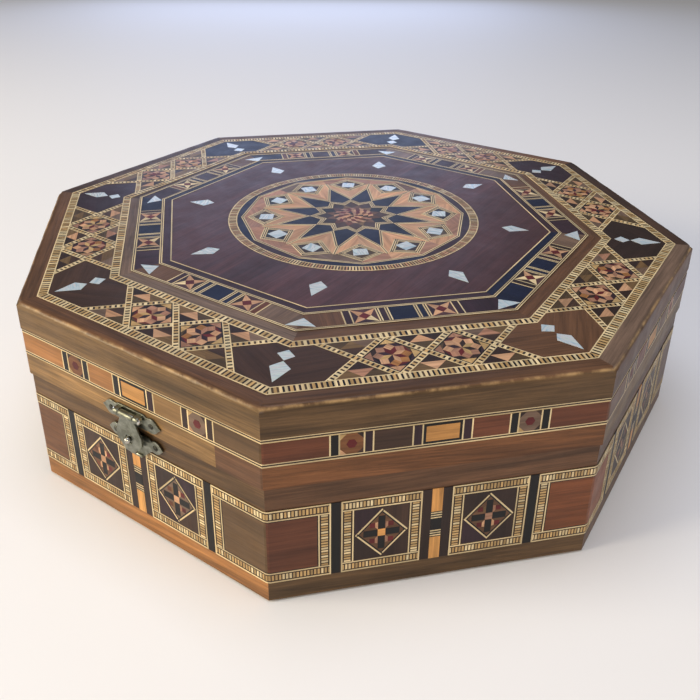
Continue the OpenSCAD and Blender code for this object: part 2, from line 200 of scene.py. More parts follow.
def direction(p, q):
    return math.degrees(math.atan2(q[1] - p[1], q[0] - p[0]))


def band_region(a_out, a_in):
    """The mitred strip of an octagonal ring on the latch side, which faces -Y."""
    return [
        (-a_out * HALF_TAN, -a_out),
        (a_out * HALF_TAN, -a_out),
        (a_in * HALF_TAN, -a_in),
        (-a_in * HALF_TAN, -a_in),
    ]


# ---- Tiles ----------------------------------------------------------------


def turn(n):
    return Matrix.Rotation(2 * math.pi / SIDES * (n - 1), 3, "Z")


PANEL_SHIFT = Vector((-1.5, 1.2, 0))    # the inner panel of the lid is not quite centred
NO_SHIFT = Vector((0, 0, 0))


def on_top(n=1, shift=NO_SHIFT):
    """Places a flat point of side n on the lid top."""
    spin = turn(n)
    return lambda u, v, w: spin @ Vector((u, v, TOP_Z + w)) + shift


class Inlay:
    """Collects tiles, each a thin prism with its own wood and grain, and makes one object of them."""

    def __init__(self, name):
        self.name = name
        self.place = on_top()
        self.verts, self.faces, self.tones, self.grains = [], [], [], []

    def tile(self, poly, wood, grain, level=TILE, region=None, spread=0.10):
        if region:
            poly = clip(poly, region)
        if len(poly) < 3 or abs(area(poly)) < 0.004:
            return
        poly = anticlockwise(poly)
        if isinstance(wood, tuple):
            wood = rng.choice(wood)
        colour = tone(wood, spread)
        start, count = len(self.verts), len(poly)
        ca, sa = math.cos(math.radians(grain)), math.sin(math.radians(grain))
        shift = (rng.uniform(0, 400), rng.uniform(0, 400), rng.uniform(0, 400))
        top = level - rng.uniform(0, 0.012)
        for w in (top, -SKIN_T):
            for u, v in poly:
                self.verts.append(self.place(u, v, w))
                self.tones.append(colour)
                self.grains.append((u * ca + v * sa + shift[0], v * ca - u * sa + shift[1], w + shift[2]))
        self.faces.append(tuple(range(start, start + count)))
        self.faces.append(tuple(start + count + i for i in reversed(range(count))))
        for i in range(count):
            j = (i + 1) % count
            self.faces.append((start + i, start + count + i, start + count + j, start + j))

    def lines(self, p, q, offsets, level=STRIP, region=None):
        """Thin parallel lines; offsets lists (from, to, wood) to the left of the way from p to q."""
        for left, right, wood in offsets:
            self.tile(bar(p, q, left, right), wood, direction(p, q), level, region, 0.06)

    def checks(self, p, q, width, region, pitch, level=STRIP, line=LINE):
        """A checker strip centred on the way from p to q: blocks between two cream lines."""
        half = width / 2
        self.lines(p, q, [(half - line, half, "cream"), (-half, line - half, "cream")], level, region)
        length = math.hypot(q[0] - p[0], q[1] - p[1])
        count = max(2, round(length / pitch))
        for i in range(count):
            for a, b, woods in ((i, i + DARK_SHARE, CHECK_DARKS), (i + DARK_SHARE, i + 1, CHECK_LIGHTS)):
                block = bar(along(p, q, a / count), along(p, q, b / count), line - half, half - line)
                self.tile(block, woods, direction(p, q) + 90, level, region, 0.16)

    def build(self, material, body, slot, *nodes):
        mesh = new_mesh(self.name, self.verts, self.faces)
        store(mesh, self.tones, self.grains)
        piece(self.name, mesh, material, body, slot, *nodes)


def new_mesh(name, verts, faces):
    """A mesh from points in millimetres."""
    mesh = bpy.data.meshes.new(name)
    mesh.from_pydata([v * 0.001 for v in verts], [], faces)
    return mesh


def store(mesh, tones, grains, wear_and_highlight=None):
    """Writes the colour, grain and wear of every vertex for the wood materials; the wear also carries a
    painted highlight.
    """
    colour = mesh.attributes.new("tone", "FLOAT_COLOR", "POINT")
    colour.data.foreach_set("color", [c for t in tones for c in t])
    grain = mesh.attributes.new("grain", "FLOAT_VECTOR", "POINT")
    grain.data.foreach_set("vector", [c for g in grains for c in g])
    worn = mesh.attributes.new("wear_and_highlight", "FLOAT", "POINT")
    worn.data.foreach_set("value", wear_and_highlight or [0.0] * len(tones))


def piece(name, mesh, material, body, slot, *nodes):
    obj = bpy.data.objects.new(name, mesh)
    bpy.context.scene.collection.objects.link(obj)
    mesh.materials.append(material)
    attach(obj, body)
    if nodes:
        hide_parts(*nodes)


# ---- Materials ------------------------------------------------------------


class Nodes:
    """A short way to write a material's nodes."""

    def __init__(self, name):
        self.material = bpy.data.materials.new(name)
        self.material.use_nodes = True
        self.tree = self.material.node_tree
        self.shader = self.tree.nodes["Principled BSDF"]

    def add(self, kind, **values):
        node = self.tree.nodes.new("ShaderNode" + kind)
        for key, value in values.items():
            setattr(node, key, value)
        return node

    def link(self, source, target):
        self.tree.links.new(source, target)

    def set(self, **values):
        for key, value in values.items():
            self.shader.inputs[key.replace("_", " ").title()].default_value = value

    def feed(self, socket, source):
        self.link(source, self.shader.inputs[socket])

    def constant(self, colour):
        node = self.add("RGB")
        node.outputs[0].default_value = rgba(colour)
        return node.outputs[0]

    def product(self, first, *others):
        for other in others:
            first = self.math("MULTIPLY", first, other)
        return first

    def attribute(self, name, output="Vector"):
        return self.add("Attribute", attribute_name=name).outputs[output]

    def scaled(self, vector, scale):
        node = self.add("VectorMath", operation="MULTIPLY")
        self.link(vector, node.inputs[0])
        node.inputs[1].default_value = scale
        return node.outputs[0]

    def noise(self, vector, scale, detail, rough, distortion=0.0):
        node = self.add("TexNoise")
        self.link(vector, node.inputs["Vector"])
        node.inputs["Scale"].default_value = scale
        node.inputs["Detail"].default_value = detail
        node.inputs["Roughness"].default_value = rough
        node.inputs["Distortion"].default_value = distortion
        return node.outputs["Fac"]

    def grained(self, vector, stretch, detail, rough, distortion=0.0):
        """Noise with its own scale along each axis."""
        return self.noise(self.scaled(vector, stretch), 1, detail, rough, distortion)

    def remap(self, value, low_in, high_in, low_out, high_out):
        node = self.add("MapRange", clamp=True)
        self.link(value, node.inputs["Value"])
        ends = {"From Min": low_in, "From Max": high_in, "To Min": low_out, "To Max": high_out}
        for key, number in ends.items():
            node.inputs[key].default_value = number
        return node.outputs["Result"]

    def math(self, operation, a, b):
        node = self.add("Math", operation=operation)
        for socket, value in zip(node.inputs, (a, b)):
            if isinstance(value, (int, float)):
                socket.default_value = value
            else:
                self.link(value, socket)
        return node.outputs[0]

    def mix(self, factor, a, b):
        node = self.add("Mix", data_type="RGBA")
        for socket, value in ((node.inputs[0], factor), (node.inputs[6], a), (node.inputs[7], b)):
            if isinstance(value, (int, float, tuple)):
                socket.default_value = value
            else:
                self.link(value, socket)
        return node.outputs[2]

    def shade(self, colour, value):
        """The colour made lighter or darker by a value about 1."""
        node = self.add("VectorMath", operation="SCALE")
        self.link(colour, node.inputs[0])
        self.link(value, node.inputs["Scale"])
        return node.outputs[0]

    def bump(self, height, strength, distance=0.0001):
        node = self.add("Bump")
        node.inputs["Strength"].default_value = strength
        node.inputs["Distance"].default_value = distance
        self.link(height, node.inputs["Height"])
        self.feed("Normal", node.outputs["Normal"])


def object_mm(m):
    """Object coordinates in millimetres."""
    return m.scaled(m.add("TexCoord").outputs["Object"], (1000, 1000, 1000))


def wood(name, figure, streaks, pores, rough, coat):
    """Varnished wood: colour from the tile, with figure, streaks and pores along its own grain."""
    m = Nodes(name)
    grain = m.attribute("grain")
    base = m.attribute("tone", "Color")
    wear_and_highlight = m.attribute("wear_and_highlight", "Fac")
    broad = m.grained(grain, (0.012, 0.16, 0.16), 3, 0.5, 0.6)
    fine = m.grained(grain, (0.06, 1.7, 1.7), 5, 0.6, 0.2)
    pore = m.grained(grain, (0.45, 6.5, 6.5), 2, 0.5)
    long = m.grained(grain, (0.03, 0.6, 0.6), 4, 0.55, 0.9)
    patina = m.noise(object_mm(m), 0.03, 4, 0.6)
    shade = m.product(
        m.remap(broad, 0.3, 0.7, 1 - figure, 1 + figure * 0.8),
        m.remap(fine, 0.3, 0.7, 1 - streaks, 1 + streaks * 0.7),
        m.remap(pore, 0.28, 0.42, 1 - pores, 1),
        m.remap(long, 0.32, 0.62, 1 - streaks * 1.1, 1 + streaks * 0.6),
        m.remap(patina, 0.3, 0.7, 0.88, 1.08),
    )
    colour = m.shade(base, shade)
    # Where the wear attribute is set, the colour is mixed towards a light worn colour: bare wood rubbed
    # through, and a painted highlight on the rounded lid edge.
    scuffs_and_glints = m.noise(object_mm(m), 0.16, 5, 0.62)
    worn = m.product(wear_and_highlight, m.remap(scuffs_and_glints, 0.42, 0.62, 0.08, 0.85))
    m.feed("Base Color", m.mix(worn, colour, rgba(WOODS["worn"])))
    m.feed("Roughness", m.remap(m.noise(object_mm(m), 0.11, 5, 0.65), 0.3, 0.7, *rough))
    m.bump(m.math("ADD", fine, m.product(pore, 0.6)), 0.22)
    m.set(coat_weight=coat, coat_roughness=0.28)
    m.shader.inputs["Specular IOR Level"].default_value = 0.22
    return m.material


def plain_wood(name, colour):
    """Bare boards, with their grain along the object's own axes."""
    m = Nodes(name)
    here = object_mm(m)
    fine = m.grained(here, (0.35, 0.35, 0.9), 5, 0.6, 0.3)
    broad = m.noise(here, 0.05, 3, 0.5)
    shade = m.product(m.remap(fine, 0.3, 0.7, 0.72, 1.15), m.remap(broad, 0.3, 0.7, 0.85, 1.1))
    m.feed("Base Color", m.shade(m.constant(colour), shade))
    m.feed("Roughness", m.remap(fine, 0.3, 0.7, 0.5, 0.75))
    m.bump(fine, 0.3)
    return m.material


def pearl(name):
    """Mother-of-pearl: milky layers with faint blue, pink and green, polished."""
    m = Nodes(name)
    grain = m.attribute("grain")
    layers = m.grained(grain, (0.10, 0.55, 0.55), 3, 0.5, 1.6)
    cloud = m.grained(grain, (0.25, 0.25, 0.25), 2, 0.5, 0.8)
    ramp = m.add("ValToRGB")
    stops = ramp.color_ramp.elements
    stops[0].position, stops[0].color = 0.28, (0.22, 0.32, 0.42, 1)
    stops[1].position, stops[1].color = 0.72, (0.56, 0.61, 0.60, 1)
    middle = ((0.42, (0.36, 0.48, 0.55, 1)), (0.55, (0.52, 0.50, 0.52, 1)), (0.63, (0.36, 0.49, 0.47, 1)))
    for position, colour in middle:
        stop = stops.new(position)
        stop.color = colour
    m.link(layers, ramp.inputs["Fac"])
    milky = (0.46, 0.56, 0.62, 1)
    m.feed("Base Color", m.mix(m.remap(cloud, 0.35, 0.65, 0.0, 0.5), ramp.outputs["Color"], milky))
    m.feed("Roughness", m.remap(layers, 0.3, 0.7, 0.16, 0.34))
    m.bump(layers, 0.08)
    m.set(coat_weight=0.3, coat_roughness=0.15)
    return m.material


def velvet(name, colour, sheen_tint):
    """Short-pile velvet, brushed in patches."""
    m = Nodes(name)
    here = object_mm(m)
    brushed = m.noise(here, 0.045, 3, 0.5, 1.2)
    pile = m.noise(here, 3.2, 2, 0.6)
    shade = m.product(m.remap(brushed, 0.35, 0.65, 0.7, 1.25), m.remap(pile, 0.3, 0.7, 0.8, 1.2))
    m.feed("Base Color", m.shade(m.constant(colour), shade))
    m.feed("Roughness", m.remap(brushed, 0.3, 0.7, 0.8, 0.95))
    m.bump(pile, 0.5, 0.0003)
    m.set(sheen_weight=0.8, sheen_roughness=0.35, sheen_tint=rgba(sheen_tint))
    return m.material


def metal(name, colour, dark, rough=(0.28, 0.5), scale=0.6):
    """Plated metal with tarnish in noisy patches and fine handling marks."""
    m = Nodes(name)
    here = object_mm(m)
    tarnish = m.noise(here, scale, 5, 0.65, 0.4)
    marks = m.grained(here, (4, 1.2, 1.2), 3, 0.6)
    m.feed("Base Color", m.mix(m.remap(tarnish, 0.38, 0.62, 0.0, 1.0), rgba(colour), rgba(dark)))
    m.feed("Roughness", m.remap(tarnish, 0.35, 0.65, *rough))
    m.bump(m.math("ADD", tarnish, m.product(marks, 0.3)), 0.35)
    m.set(metallic=1.0)
    return m.material


INLAY_WOOD = wood("inlay_wood", 0.20, 0.22, 0.14, (0.36, 0.52), 0.08)
SIDE_INLAY_WOOD = wood("side_inlay_wood", 0.28, 0.18, 0.16, (0.36, 0.52), 0.10)
VENEER_WOOD = wood("veneer_wood", 0.42, 0.28, 0.28, (0.38, 0.54), 0.08)
EDGE_WOOD = wood("edge_wood", 0.36, 0.28, 0.28, (0.38, 0.54), 0.08)
FIELD_WOOD = wood("field_wood", 0.30, 0.22, 0.28, (0.36, 0.52), 0.10)
BOARD_WOOD = plain_wood("board_wood", (128, 96, 64))
SHELL = pearl("mother_of_pearl")
RED_VELVET = velvet("red_velvet", (96, 12, 22), (220, 90, 96))
GREEN_FELT = velvet("green_felt", (24, 50, 36), (80, 110, 90))
BRASS = metal("tarnished_brass", (190, 150, 84), (120, 90, 48))
OLD_BRONZE = metal("antique_bronze", (140, 142, 130), (104, 106, 94), (0.30, 0.44), 0.28)
DARK_BRONZE = metal("dark_bronze", (84, 84, 76), (44, 44, 40), (0.30, 0.5), 0.9)
BRIGHT_STEEL = metal("bright_steel", (214, 212, 204), (150, 148, 138), (0.12, 0.3), 0.7)

# ---- Lid top: rings -------------------------------------------------------


def each_top_side(inlay, shift=NO_SHIFT):
    for n in range(1, SIDES + 1):
        inlay.place = on_top(n, shift)
        yield n


def plain_ring(name, a_out, a_in, woods, material, level, shift, slot, node):
    inlay = Inlay(name)
    for _ in each_top_side(inlay, shift):
        inlay.tile(band_region(a_out, a_in), woods, 0, level, None, 0.16)
    inlay.build(material, "lid", slot, node)


def checker_ring(name, a_out, a_in, pitch, node):
    inlay = Inlay(name)
    for _ in each_top_side(inlay):
        y = -(a_out + a_in) / 2
        half = a_out * HALF_TAN
        inlay.checks((-half, y), (half, y), a_out - a_in, band_region(a_out, a_in), pitch)
    inlay.build(INLAY_WOOD, "lid", "marquetry", node)


STRIP_W = 2.4            # width of the crossing strips
CROSSING = 24.0          # distance between crossings
MOSAIC_SHIFT = {n: rng.uniform(-0.8, 0.8) for n in range(1, SIDES + 1)}
MOSAIC_SHIFT[1] = 2.4    # on the latch side the crossings stand to the right of the middle
CORNER_WOODS = ("walnut_dark", "walnut_dark", "walnut", "dark_brown", "plum", "navy", "navy", "plum")


def star_tiles(inlay, centre, half):
    """An eight-pointed star of rhombs and squares in a square standing on its corner."""
    cx, cy = centre

    def at(r, degrees):
        x, y = polar(r, degrees)
        return (cx + x, cy + y)

    rim = 0.45
    inner = half - rim * math.sqrt(2)
    tips = [at(half, 90 * k) for k in range(4)]
    for k in range(4):
        inlay.lines(tips[k], tips[(k + 1) % 4], [(0, rim, "black")])
    reach_out = inner / math.sqrt(2)
    side = reach_out / (1 + math.sqrt(2))
    long = 2 * side * math.cos(math.pi / SIDES)
    for k in range(SIDES):
        a = 45 * k
        woods = ("maroon", "plum", "dark_brown") if k % 2 else ("straw", "tan", "maroon", "pink")
        inlay.tile([at(0, 0), at(side, a), at(long, a + 22.5), at(side, a + 45)], woods, a + 22.5)
        inlay.tile([at(side, a), at(long, a - 22.5), at(reach_out, a), at(long, a + 22.5)],
                   ("tan", "tan", "honey", "pink"), a + 45)
        inlay.tile([at(long, a + 22.5), at(reach_out, a), at(reach_out, a + 45)],
                   ("maroon", "dark_brown", "plum", "black"), a)
    for k in range(4):
        a = 90 * k
        left_end, middle, right_end = at(reach_out, a - 45), at(reach_out, a), at(reach_out, a + 45)
        tip = at(inner, a)
        left, right = along(left_end, tip, 0.42), along(right_end, tip, 0.42)
        inlay.tile([left_end, left, middle], ("dark_brown", "plum", "olive_dark"), a)
        inlay.tile([right_end, right, middle], ("dark_brown", "plum", "olive_dark"), a)
        inlay.tile([left, tip, right, middle], ("tan", "straw", "pink"), a)


def triangle_tiles(inlay, a, b, c):
    """A triangle in four: two olive corners, a light middle and a dark point c."""
    ab, bc, ca = along(a, b, 0.5), along(b, c, 0.5), along(c, a, 0.5)
    inlay.tile([a, ab, ca], ("olive", "olive_dark", "taupe", "dark_brown"), 0)
    inlay.tile([ab, b, bc], ("olive", "olive_dark", "taupe", "dark_brown"), 0)
    inlay.tile([ab, bc, ca], ("tan", "tan", "pink", "olive"), 0)
    inlay.tile([ca, bc, c], ("olive_dark", "dark_brown", "walnut_dark"), 0)


def mosaic_band():
    inlay = Inlay("mosaic_band_tiles")
    for n in each_top_side(inlay):
        region = band_region(CHECK_OUT_IN, MOSAIC_IN)
        y_mid = -(CHECK_OUT_IN + MOSAIC_IN) / 2
        rise = (CHECK_OUT_IN - MOSAIC_IN) / 2
        gap = STRIP_W / math.sqrt(2)
        x_mid = MOSAIC_SHIFT[n]
        for s in (-1, 1):
            star_tiles(inlay, (x_mid + s * CROSSING / 2, y_mid), CROSSING / 2 - gap)
        for i in (-1, 0, 1):
            x = x_mid + i * CROSSING
            for up in (-1, 1):
                edge, wide = y_mid + up * rise, rise - gap
                triangle_tiles(inlay, (x - wide, edge), (x + wide, edge), (x, y_mid + up * gap))
                over = rise * 1.2
                inlay.checks((x - over * up, y_mid - over), (x + over * up, y_mid + over), STRIP_W, region,
                             1.9, STRIP if up > 0 else STRIP + 0.015, 0.4)
        for s in (-1, 1):
            wood_name = CORNER_WOODS[(n if s > 0 else n - 1) % SIDES]
            corner = [
                (x_mid + s * (CROSSING + rise), y_mid - rise),
                (s * CHECK_OUT_IN * HALF_TAN, y_mid - rise),
                (s * MOSAIC_IN * HALF_TAN, y_mid + rise),
                (x_mid + s * (CROSSING + rise), y_mid + rise),
                (x_mid + s * (CROSSING + gap), y_mid),
            ]
            inlay.tile(corner, wood_name, s * rng.uniform(-32, 4), GROUND, region, 0.12)
    inlay.build(INLAY_WOOD, "lid", "marquetry", "top_mosaic_band")


DOUBLE = ((0.0, LINE, "cream"), (LINE, 0.8, "dark_brown"), (0.8, 0.8 + LINE, "cream"))
DOUBLE_W = 0.8 + LINE


def segment_band():
    """Blocks, stripes and four-pointed stars between two double cream lines."""
    inlay = Inlay("segment_band_tiles")
    for _ in each_top_side(inlay, PANEL_SHIFT):
        region = band_region(WALNUT_IN, SEGMENT_IN)
        edging = [(-0.15, 0, "dark_brown"), (DOUBLE_W, DOUBLE_W + 0.15, "dark_brown")] + list(DOUBLE)
        for y in (-WALNUT_IN + 0.15, -SEGMENT_IN - 0.15 - DOUBLE_W):
            inlay.lines((-WALNUT_IN, y), (WALNUT_IN, y), edging, STRIP, region)
        y0, y1 = -WALNUT_IN + 0.3 + DOUBLE_W, -SEGMENT_IN - 0.3 - DOUBLE_W
        row = band_region(-y0, -y1)
        x = rng.uniform(-0.8, 0.8)
        block, stripe, star, tail = 4.75, 2.1, 9.2, 2.4
        inlay.tile(box2(x - block, y0, x + block, y1), ("navy", "navy", "plum"), 0)
        for s in (-1, 1):

            def column(a, b, woods, level=TILE):
                inlay.tile(box2(x + s * a, y0, x + s * b, y1), woods, 90, level, row)
                return b

            at = block
            lines = ((0.5, "cream"), (0.45, "dark_brown"), (0.5, "cream"))
            for width, woods in lines + ((stripe, ("navy", "navy", "plum")),) + lines:
                at = column(at, at + width, woods)
            square_star(inlay, (x + s * (at + star / 2), (y0 + y1) / 2), star / 2, (y1 - y0) / 2)
            at = column(at + star, at + star + 0.5, "cream")
            at = column(at, at + tail, ("rust", "plum", "dark_brown"))
            at = column(at, at + 0.5, "cream")
            column(at, WALNUT_IN, ("taupe", "walnut", "plum", "taupe", "navy"), GROUND)
    inlay.build(INLAY_WOOD, "lid", "marquetry", "top_segment_band")


def square_star(inlay, centre, half_x, half_y):
    """A four-pointed light star that reaches the corners of a dark square, with a red middle."""
    cx, cy = centre
    waist_x, waist_y = half_x * 0.5, half_y * 0.5
    waist = [(cx + waist_x, cy), (cx, cy + waist_y), (cx - waist_x, cy), (cx, cy - waist_y)]
    corners = [(cx + half_x, cy + half_y), (cx - half_x, cy + half_y),
               (cx - half_x, cy - half_y), (cx + half_x, cy - half_y)]
    inlay.tile(waist, "maroon", 0)
    for k in range(4):
        inlay.tile([waist[k], corners[k], waist[(k + 1) % 4]], ("cream", "tan", "tan"), 45 + 90 * k)
        inlay.tile([waist[k], corners[k], corners[k - 1]], ("plum", "dark_brown", "rosewood"), 90 * k)


def field():
    """The dark field: sheets of veneer side by side, with their grain from front to back."""
    inlay = Inlay("field_veneer")
    inlay.place = on_top(1, PANEL_SHIFT)
    corner = DARK_IN * HALF_TAN
    region = [(-corner, -DARK_IN), (corner, -DARK_IN), (DARK_IN, -corner), (DARK_IN, corner),
              (corner, DARK_IN), (-corner, DARK_IN), (-DARK_IN, corner), (-DARK_IN, -corner)]
    x = -DARK_IN
    while x < DARK_IN - 0.1:
        limit = next(v for v in (-RING_R, RING_R, DARK_IN) if v > x + 0.1)
        x1 = min(x + rng.uniform(5, 22), limit)
        if limit - x1 < 2:
            x1 = limit
        slant = 90 + rng.uniform(-3, 3)
        state = rng.getstate()
        for s in (-1, 1):
            rng.setstate(state)
            if abs(x + x1) / 2 > RING_R:
                strip = box2(x, -DARK_IN, x1, DARK_IN)
            else:
                steps = [x1 + (x - x1) * i / 24 for i in range(25)]
                strip = [(x, s * DARK_IN), (x1, s * DARK_IN)]
                strip += [(v, s * math.sqrt(max(0.0, RING_R * RING_R - v * v))) for v in steps]
            if s < 0 or len(strip) > 4:
                inlay.tile(strip, "rosewood", slant, GROUND, region, 0.16)
        x = x1
    for _ in each_top_side(inlay, PANEL_SHIFT):
        inlay.lines((-corner, -DARK_IN), (corner, -DARK_IN), [(0, 0.5, "cream")], STRIP,
                    band_region(DARK_IN, DARK_IN - 1))
    inlay.build(FIELD_WOOD, "lid", "rosewood", "top_field")


# ---- Lid top: medallion ---------------------------------------------------

POINTS = 12
STEP = 360 / POINTS
TURN = 7.5               # direction, in degrees, of the first square of the rosette
TRIPLE = ((0.0, 0.42, "cream"), (0.42, 0.85, "dark_brown"), (0.85, 1.27, "cream"))
BORDER_LINES = TRIPLE + ((1.27, 1.7, "dark_brown"), (1.7, 2.12, "cream"))
BORDER_W = 2.12
SLANT = 1.35             # how much longer the border's width is when measured from the middle


def medallion_ring():
    inlay = Inlay("medallion_ring_tiles")
    inlay.place = on_top(1, PANEL_SHIFT)
    count = round(2 * math.pi * RING_R / CHECK_PITCH)
    r0, r1 = ROSETTE_R + LINE, RING_R - LINE
    for i in range(count):
        a0, a1 = 360 * i / count, 360 * (i + 1) / count
        middle = a0 + (a1 - a0) * 0.55

        def sector(inner, outer, start, end, woods, spread=0.16):
            ring = [polar(inner, start), polar(outer, start), polar(outer, end), polar(inner, end)]
            inlay.tile(ring, woods, start, STRIP, None, spread)

        sector(ROSETTE_R, r0, a0, a1, "cream", 0.05)
        sector(r1, RING_R, a0, a1, "cream", 0.05)
        sector(r0, r1, a0, middle, ("dark_brown", "walnut", "olive_dark", "walnut_dark"))
        sector(r0, r1, middle, a1, ("cream", "straw", "tan"))
    inlay.build(INLAY_WOOD, "lid", "marquetry", "medallion_ring")


def rosette():
    """Twelve framed kites round a twelve-pointed star, with a small mosaic in the middle."""
    inlay = Inlay("rosette_tiles")
    inlay.place = on_top(1, PANEL_SHIFT)
    gon_r = ROSETTE_R - 1.8
    inside_r = gon_r - TRIPLE[2][1] / math.cos(math.pi / POINTS)
    tip_r, side_r, notch_r, meet_r = 35.7, 20.3, 16.0, 43.6
    near_r, far_r, flank_r, flank_deg = 31.9, 49.3, 42.7, 13.6
    core_r = 9.2
    for k in range(POINTS):
        a = TURN + STEP * k
        b = a + STEP / 2
        arc = [polar(ROSETTE_R, a + STEP * i / 6) for i in range(6, -1, -1)]
        inlay.tile([polar(gon_r, a), polar(gon_r, a + STEP)] + arc, ("navy", "navy", "plum"), b, TILE)
        wedge = [(0, 0), polar(2 * gon_r, a), polar(2 * gon_r, a + STEP)]
        inlay.lines(polar(gon_r, a), polar(gon_r, a + STEP), TRIPLE, STRIP, wedge)
        # framed dark kite that holds the shell square
        frame_tips = [polar(far_r, a), polar(flank_r, a + flank_deg),
                      polar(near_r, a), polar(flank_r, a - flank_deg)]
        for i in range(4):
            inlay.lines(frame_tips[i], frame_tips[(i + 1) % 4], BORDER_LINES, STRIP, frame_tips)
        middle = polar((far_r + near_r) / 2, a)
        shrink = 1 - BORDER_W * math.sqrt(2) / (far_r - near_r) * 2 + 0.06
        dark = [along(middle, p, shrink) for p in frame_tips]
        inlay.tile(dark, ("black", "dark_brown", "olive_dark"), a, TILE)
        # light leaves between the frame and the star
        waist, inner_tip = polar(side_r, a), frame_tips[2]
        for s in (1, -1):
            edge = a + s * STEP / 2
            leaf = [waist, polar(tip_r, edge), polar(meet_r, edge), frame_tips[2 - s], inner_tip]
            inlay.tile(leaf, "tan", a + s * 20, GROUND, None, 0.16)
            strips = [(-s * p, -s * q, wood_name) for p, q, wood_name in TRIPLE]
            inlay.lines(waist, polar(tip_r, edge), strips, STRIP, anticlockwise(leaf))
        # outer pieces between two frames
        outer = [polar(meet_r, b), frame_tips[1], frame_tips[0], polar(inside_r, a)]
        mirror = [polar(meet_r, b), polar(flank_r, a + STEP - flank_deg), polar(far_r, a + STEP),
                  polar(inside_r, a + STEP)]
        half_way = along(polar(inside_r, a), polar(inside_r, a + STEP), 0.5)
        first = rng.choice(("pink", "pink", "tan", "taupe"))
        second = first if k % 3 == 0 else rng.choice(("pink", "tan", "tan", "walnut"))
        inlay.tile(outer + [half_way], first, b + 60, GROUND)
        inlay.tile(mirror + [half_way], second, b - 60, GROUND)
        seam = [(-0.62, -0.2, "cream"), (-0.2, 0.2, "dark_brown"), (0.2, 0.62, "cream")]
        inlay.lines(polar(tip_r, b), polar(meet_r, b), seam, STRIP)
        # dark kite of the star
        star_kite = [polar(notch_r, b), polar(side_r, a), polar(tip_r, b), polar(side_r, a + STEP)]
        inlay.tile(star_kite, "navy", b, TILE, None, 0.25)
        # bordered outline and dark spikes of the middle star
        for p, q, wood_name in BORDER_LINES:
            for start, end in (((side_r, a), (notch_r, b)), ((notch_r, b), (side_r, a + STEP))):
                corners = [polar(r - way * SLANT, deg) for way, (r, deg) in
                           ((p, start), (p, end), (q, end), (q, start))]
                inlay.tile(corners, wood_name, b, STRIP, None, 0.06)
        inset = BORDER_W * SLANT
        spike = [polar(side_r - inset, a), polar(notch_r - inset, b),
                 polar(core_r, a), polar(notch_r - inset, b - STEP)]
        inlay.tile(spike, ("dark_brown", "black", "walnut_dark"), a, TILE)
        inlay.tile([polar(notch_r - inset, b), polar(core_r, a), polar(core_r, a + STEP)],
                   ("walnut", "rust", "olive"), b, TILE)
    for r0, r1, count in ((7.0, core_r, 24), (4.7, 7.0, 18), (2.3, 4.7, 12), (0.0, 2.3, 6)):
        for i in range(count):
            a0, a1 = TURN + 360 * i / count, TURN + 360 * (i + 1) / count
            lean = 9 if r0 else 0
            ring = [polar(r0, a0), polar(r1, a0 + lean), polar(r1, a1 + lean), polar(r0, a1)]
            woods = ("pink", "tan") if i % 2 else ("maroon", "rust", "dark_brown")
            inlay.tile(ring if r0 else ring[:3], woods, a0, TILE, None, 0.2)
    inlay.build(INLAY_WOOD, "lid", "marquetry", "medallion_rosette")


# ---- Lid top: mother-of-pearl ---------------------------------------------


# Pieces of shell: distance from the middle, length, width, and the share of the length that is nearer
FIELD_KITE = (72.6, 12, 7.5, 0.33)
ROSETTE_SQUARE = (40.4, 8.9, 8.9, 0.5)
CORNER_RHOMB = (120, 6.4, 6.2, 0.5)
CORNER_KITE = (127.7, 12.3, 6.8, 0.31)
CORNER_TRIANGLE = (101.2, 5.7, 10.4, 1.0)


def kite(kind, degrees, twist):
    """A kite that points away from the middle, turned a little about itself."""
    r, length, width, peak = kind
    shape = [(-length * peak, 0), (0, -width / 2), (length * (1 - peak), 0), (0, width / 2)]
    spun = [Matrix.Rotation(math.radians(twist), 2) @ Vector(p) + Vector((r, 0)) for p in shape]
    return [tuple(Matrix.Rotation(math.radians(degrees), 2) @ p) for p in spun]


def pearls(name, shapes, node, shift=NO_SHIFT):
    inlay = Inlay(name)
    inlay.place = on_top(1, shift)
    for shape in shapes:
        rough = [(x + rng.uniform(-0.3, 0.3), y + rng.uniform(-0.3, 0.3)) for x, y in shape]
        inlay.tile(rough, "cream", rng.uniform(0, 180), FLUSH)
    inlay.build(SHELL, "lid", "pearl", node)


def all_pearls():
    corners = [360 / SIDES * (n - 0.5) for n in range(1, SIDES + 1)]
    kites = [kite(FIELD_KITE, a, rng.uniform(-9, 9)) for a in corners]
    pearls("field_pearl_kites", kites, "field_pearls", PANEL_SHIFT)
    squares = [kite(ROSETTE_SQUARE, TURN + STEP * k, 45 + rng.uniform(-11, 11)) for k in range(POINTS)]
    pearls("rosette_pearl_squares", squares, "rosette_pearls", PANEL_SHIFT)
    pieces = []
    for a in corners:
        pieces.append(kite(CORNER_RHOMB, a, rng.uniform(-6, 6)))
        pieces.append(kite(CORNER_KITE, a, rng.uniform(-3, 3)))
        triangle = kite(CORNER_TRIANGLE, a, rng.uniform(-4, 4))
        pieces.append([triangle[0], triangle[1], triangle[3]])
    pearls("corner_pearl_pieces", pieces, "corner_pearls")


# ---- Sweeps round the octagon ---------------------------------------------


WELD = 0.000002          # metres between points of metal that become one


def smooth_by_angle(mesh, degrees, weld=False):
    """Outward faces with smooth shading, and every edge sharper than the angle kept crisp."""
    bm = bmesh.new()
    bm.from_mesh(mesh)
    if weld:
        bmesh.ops.remove_doubles(bm, verts=bm.verts, dist=WELD)
    bmesh.ops.recalc_face_normals(bm, faces=bm.faces)
    bm.normal_update()
    for face in bm.faces:
        face.smooth = True
    for edge in bm.edges:
        edge.smooth = len(edge.link_faces) == 2 and edge.calc_face_angle() < math.radians(degrees)
    bm.to_mesh(mesh)
    bm.free()


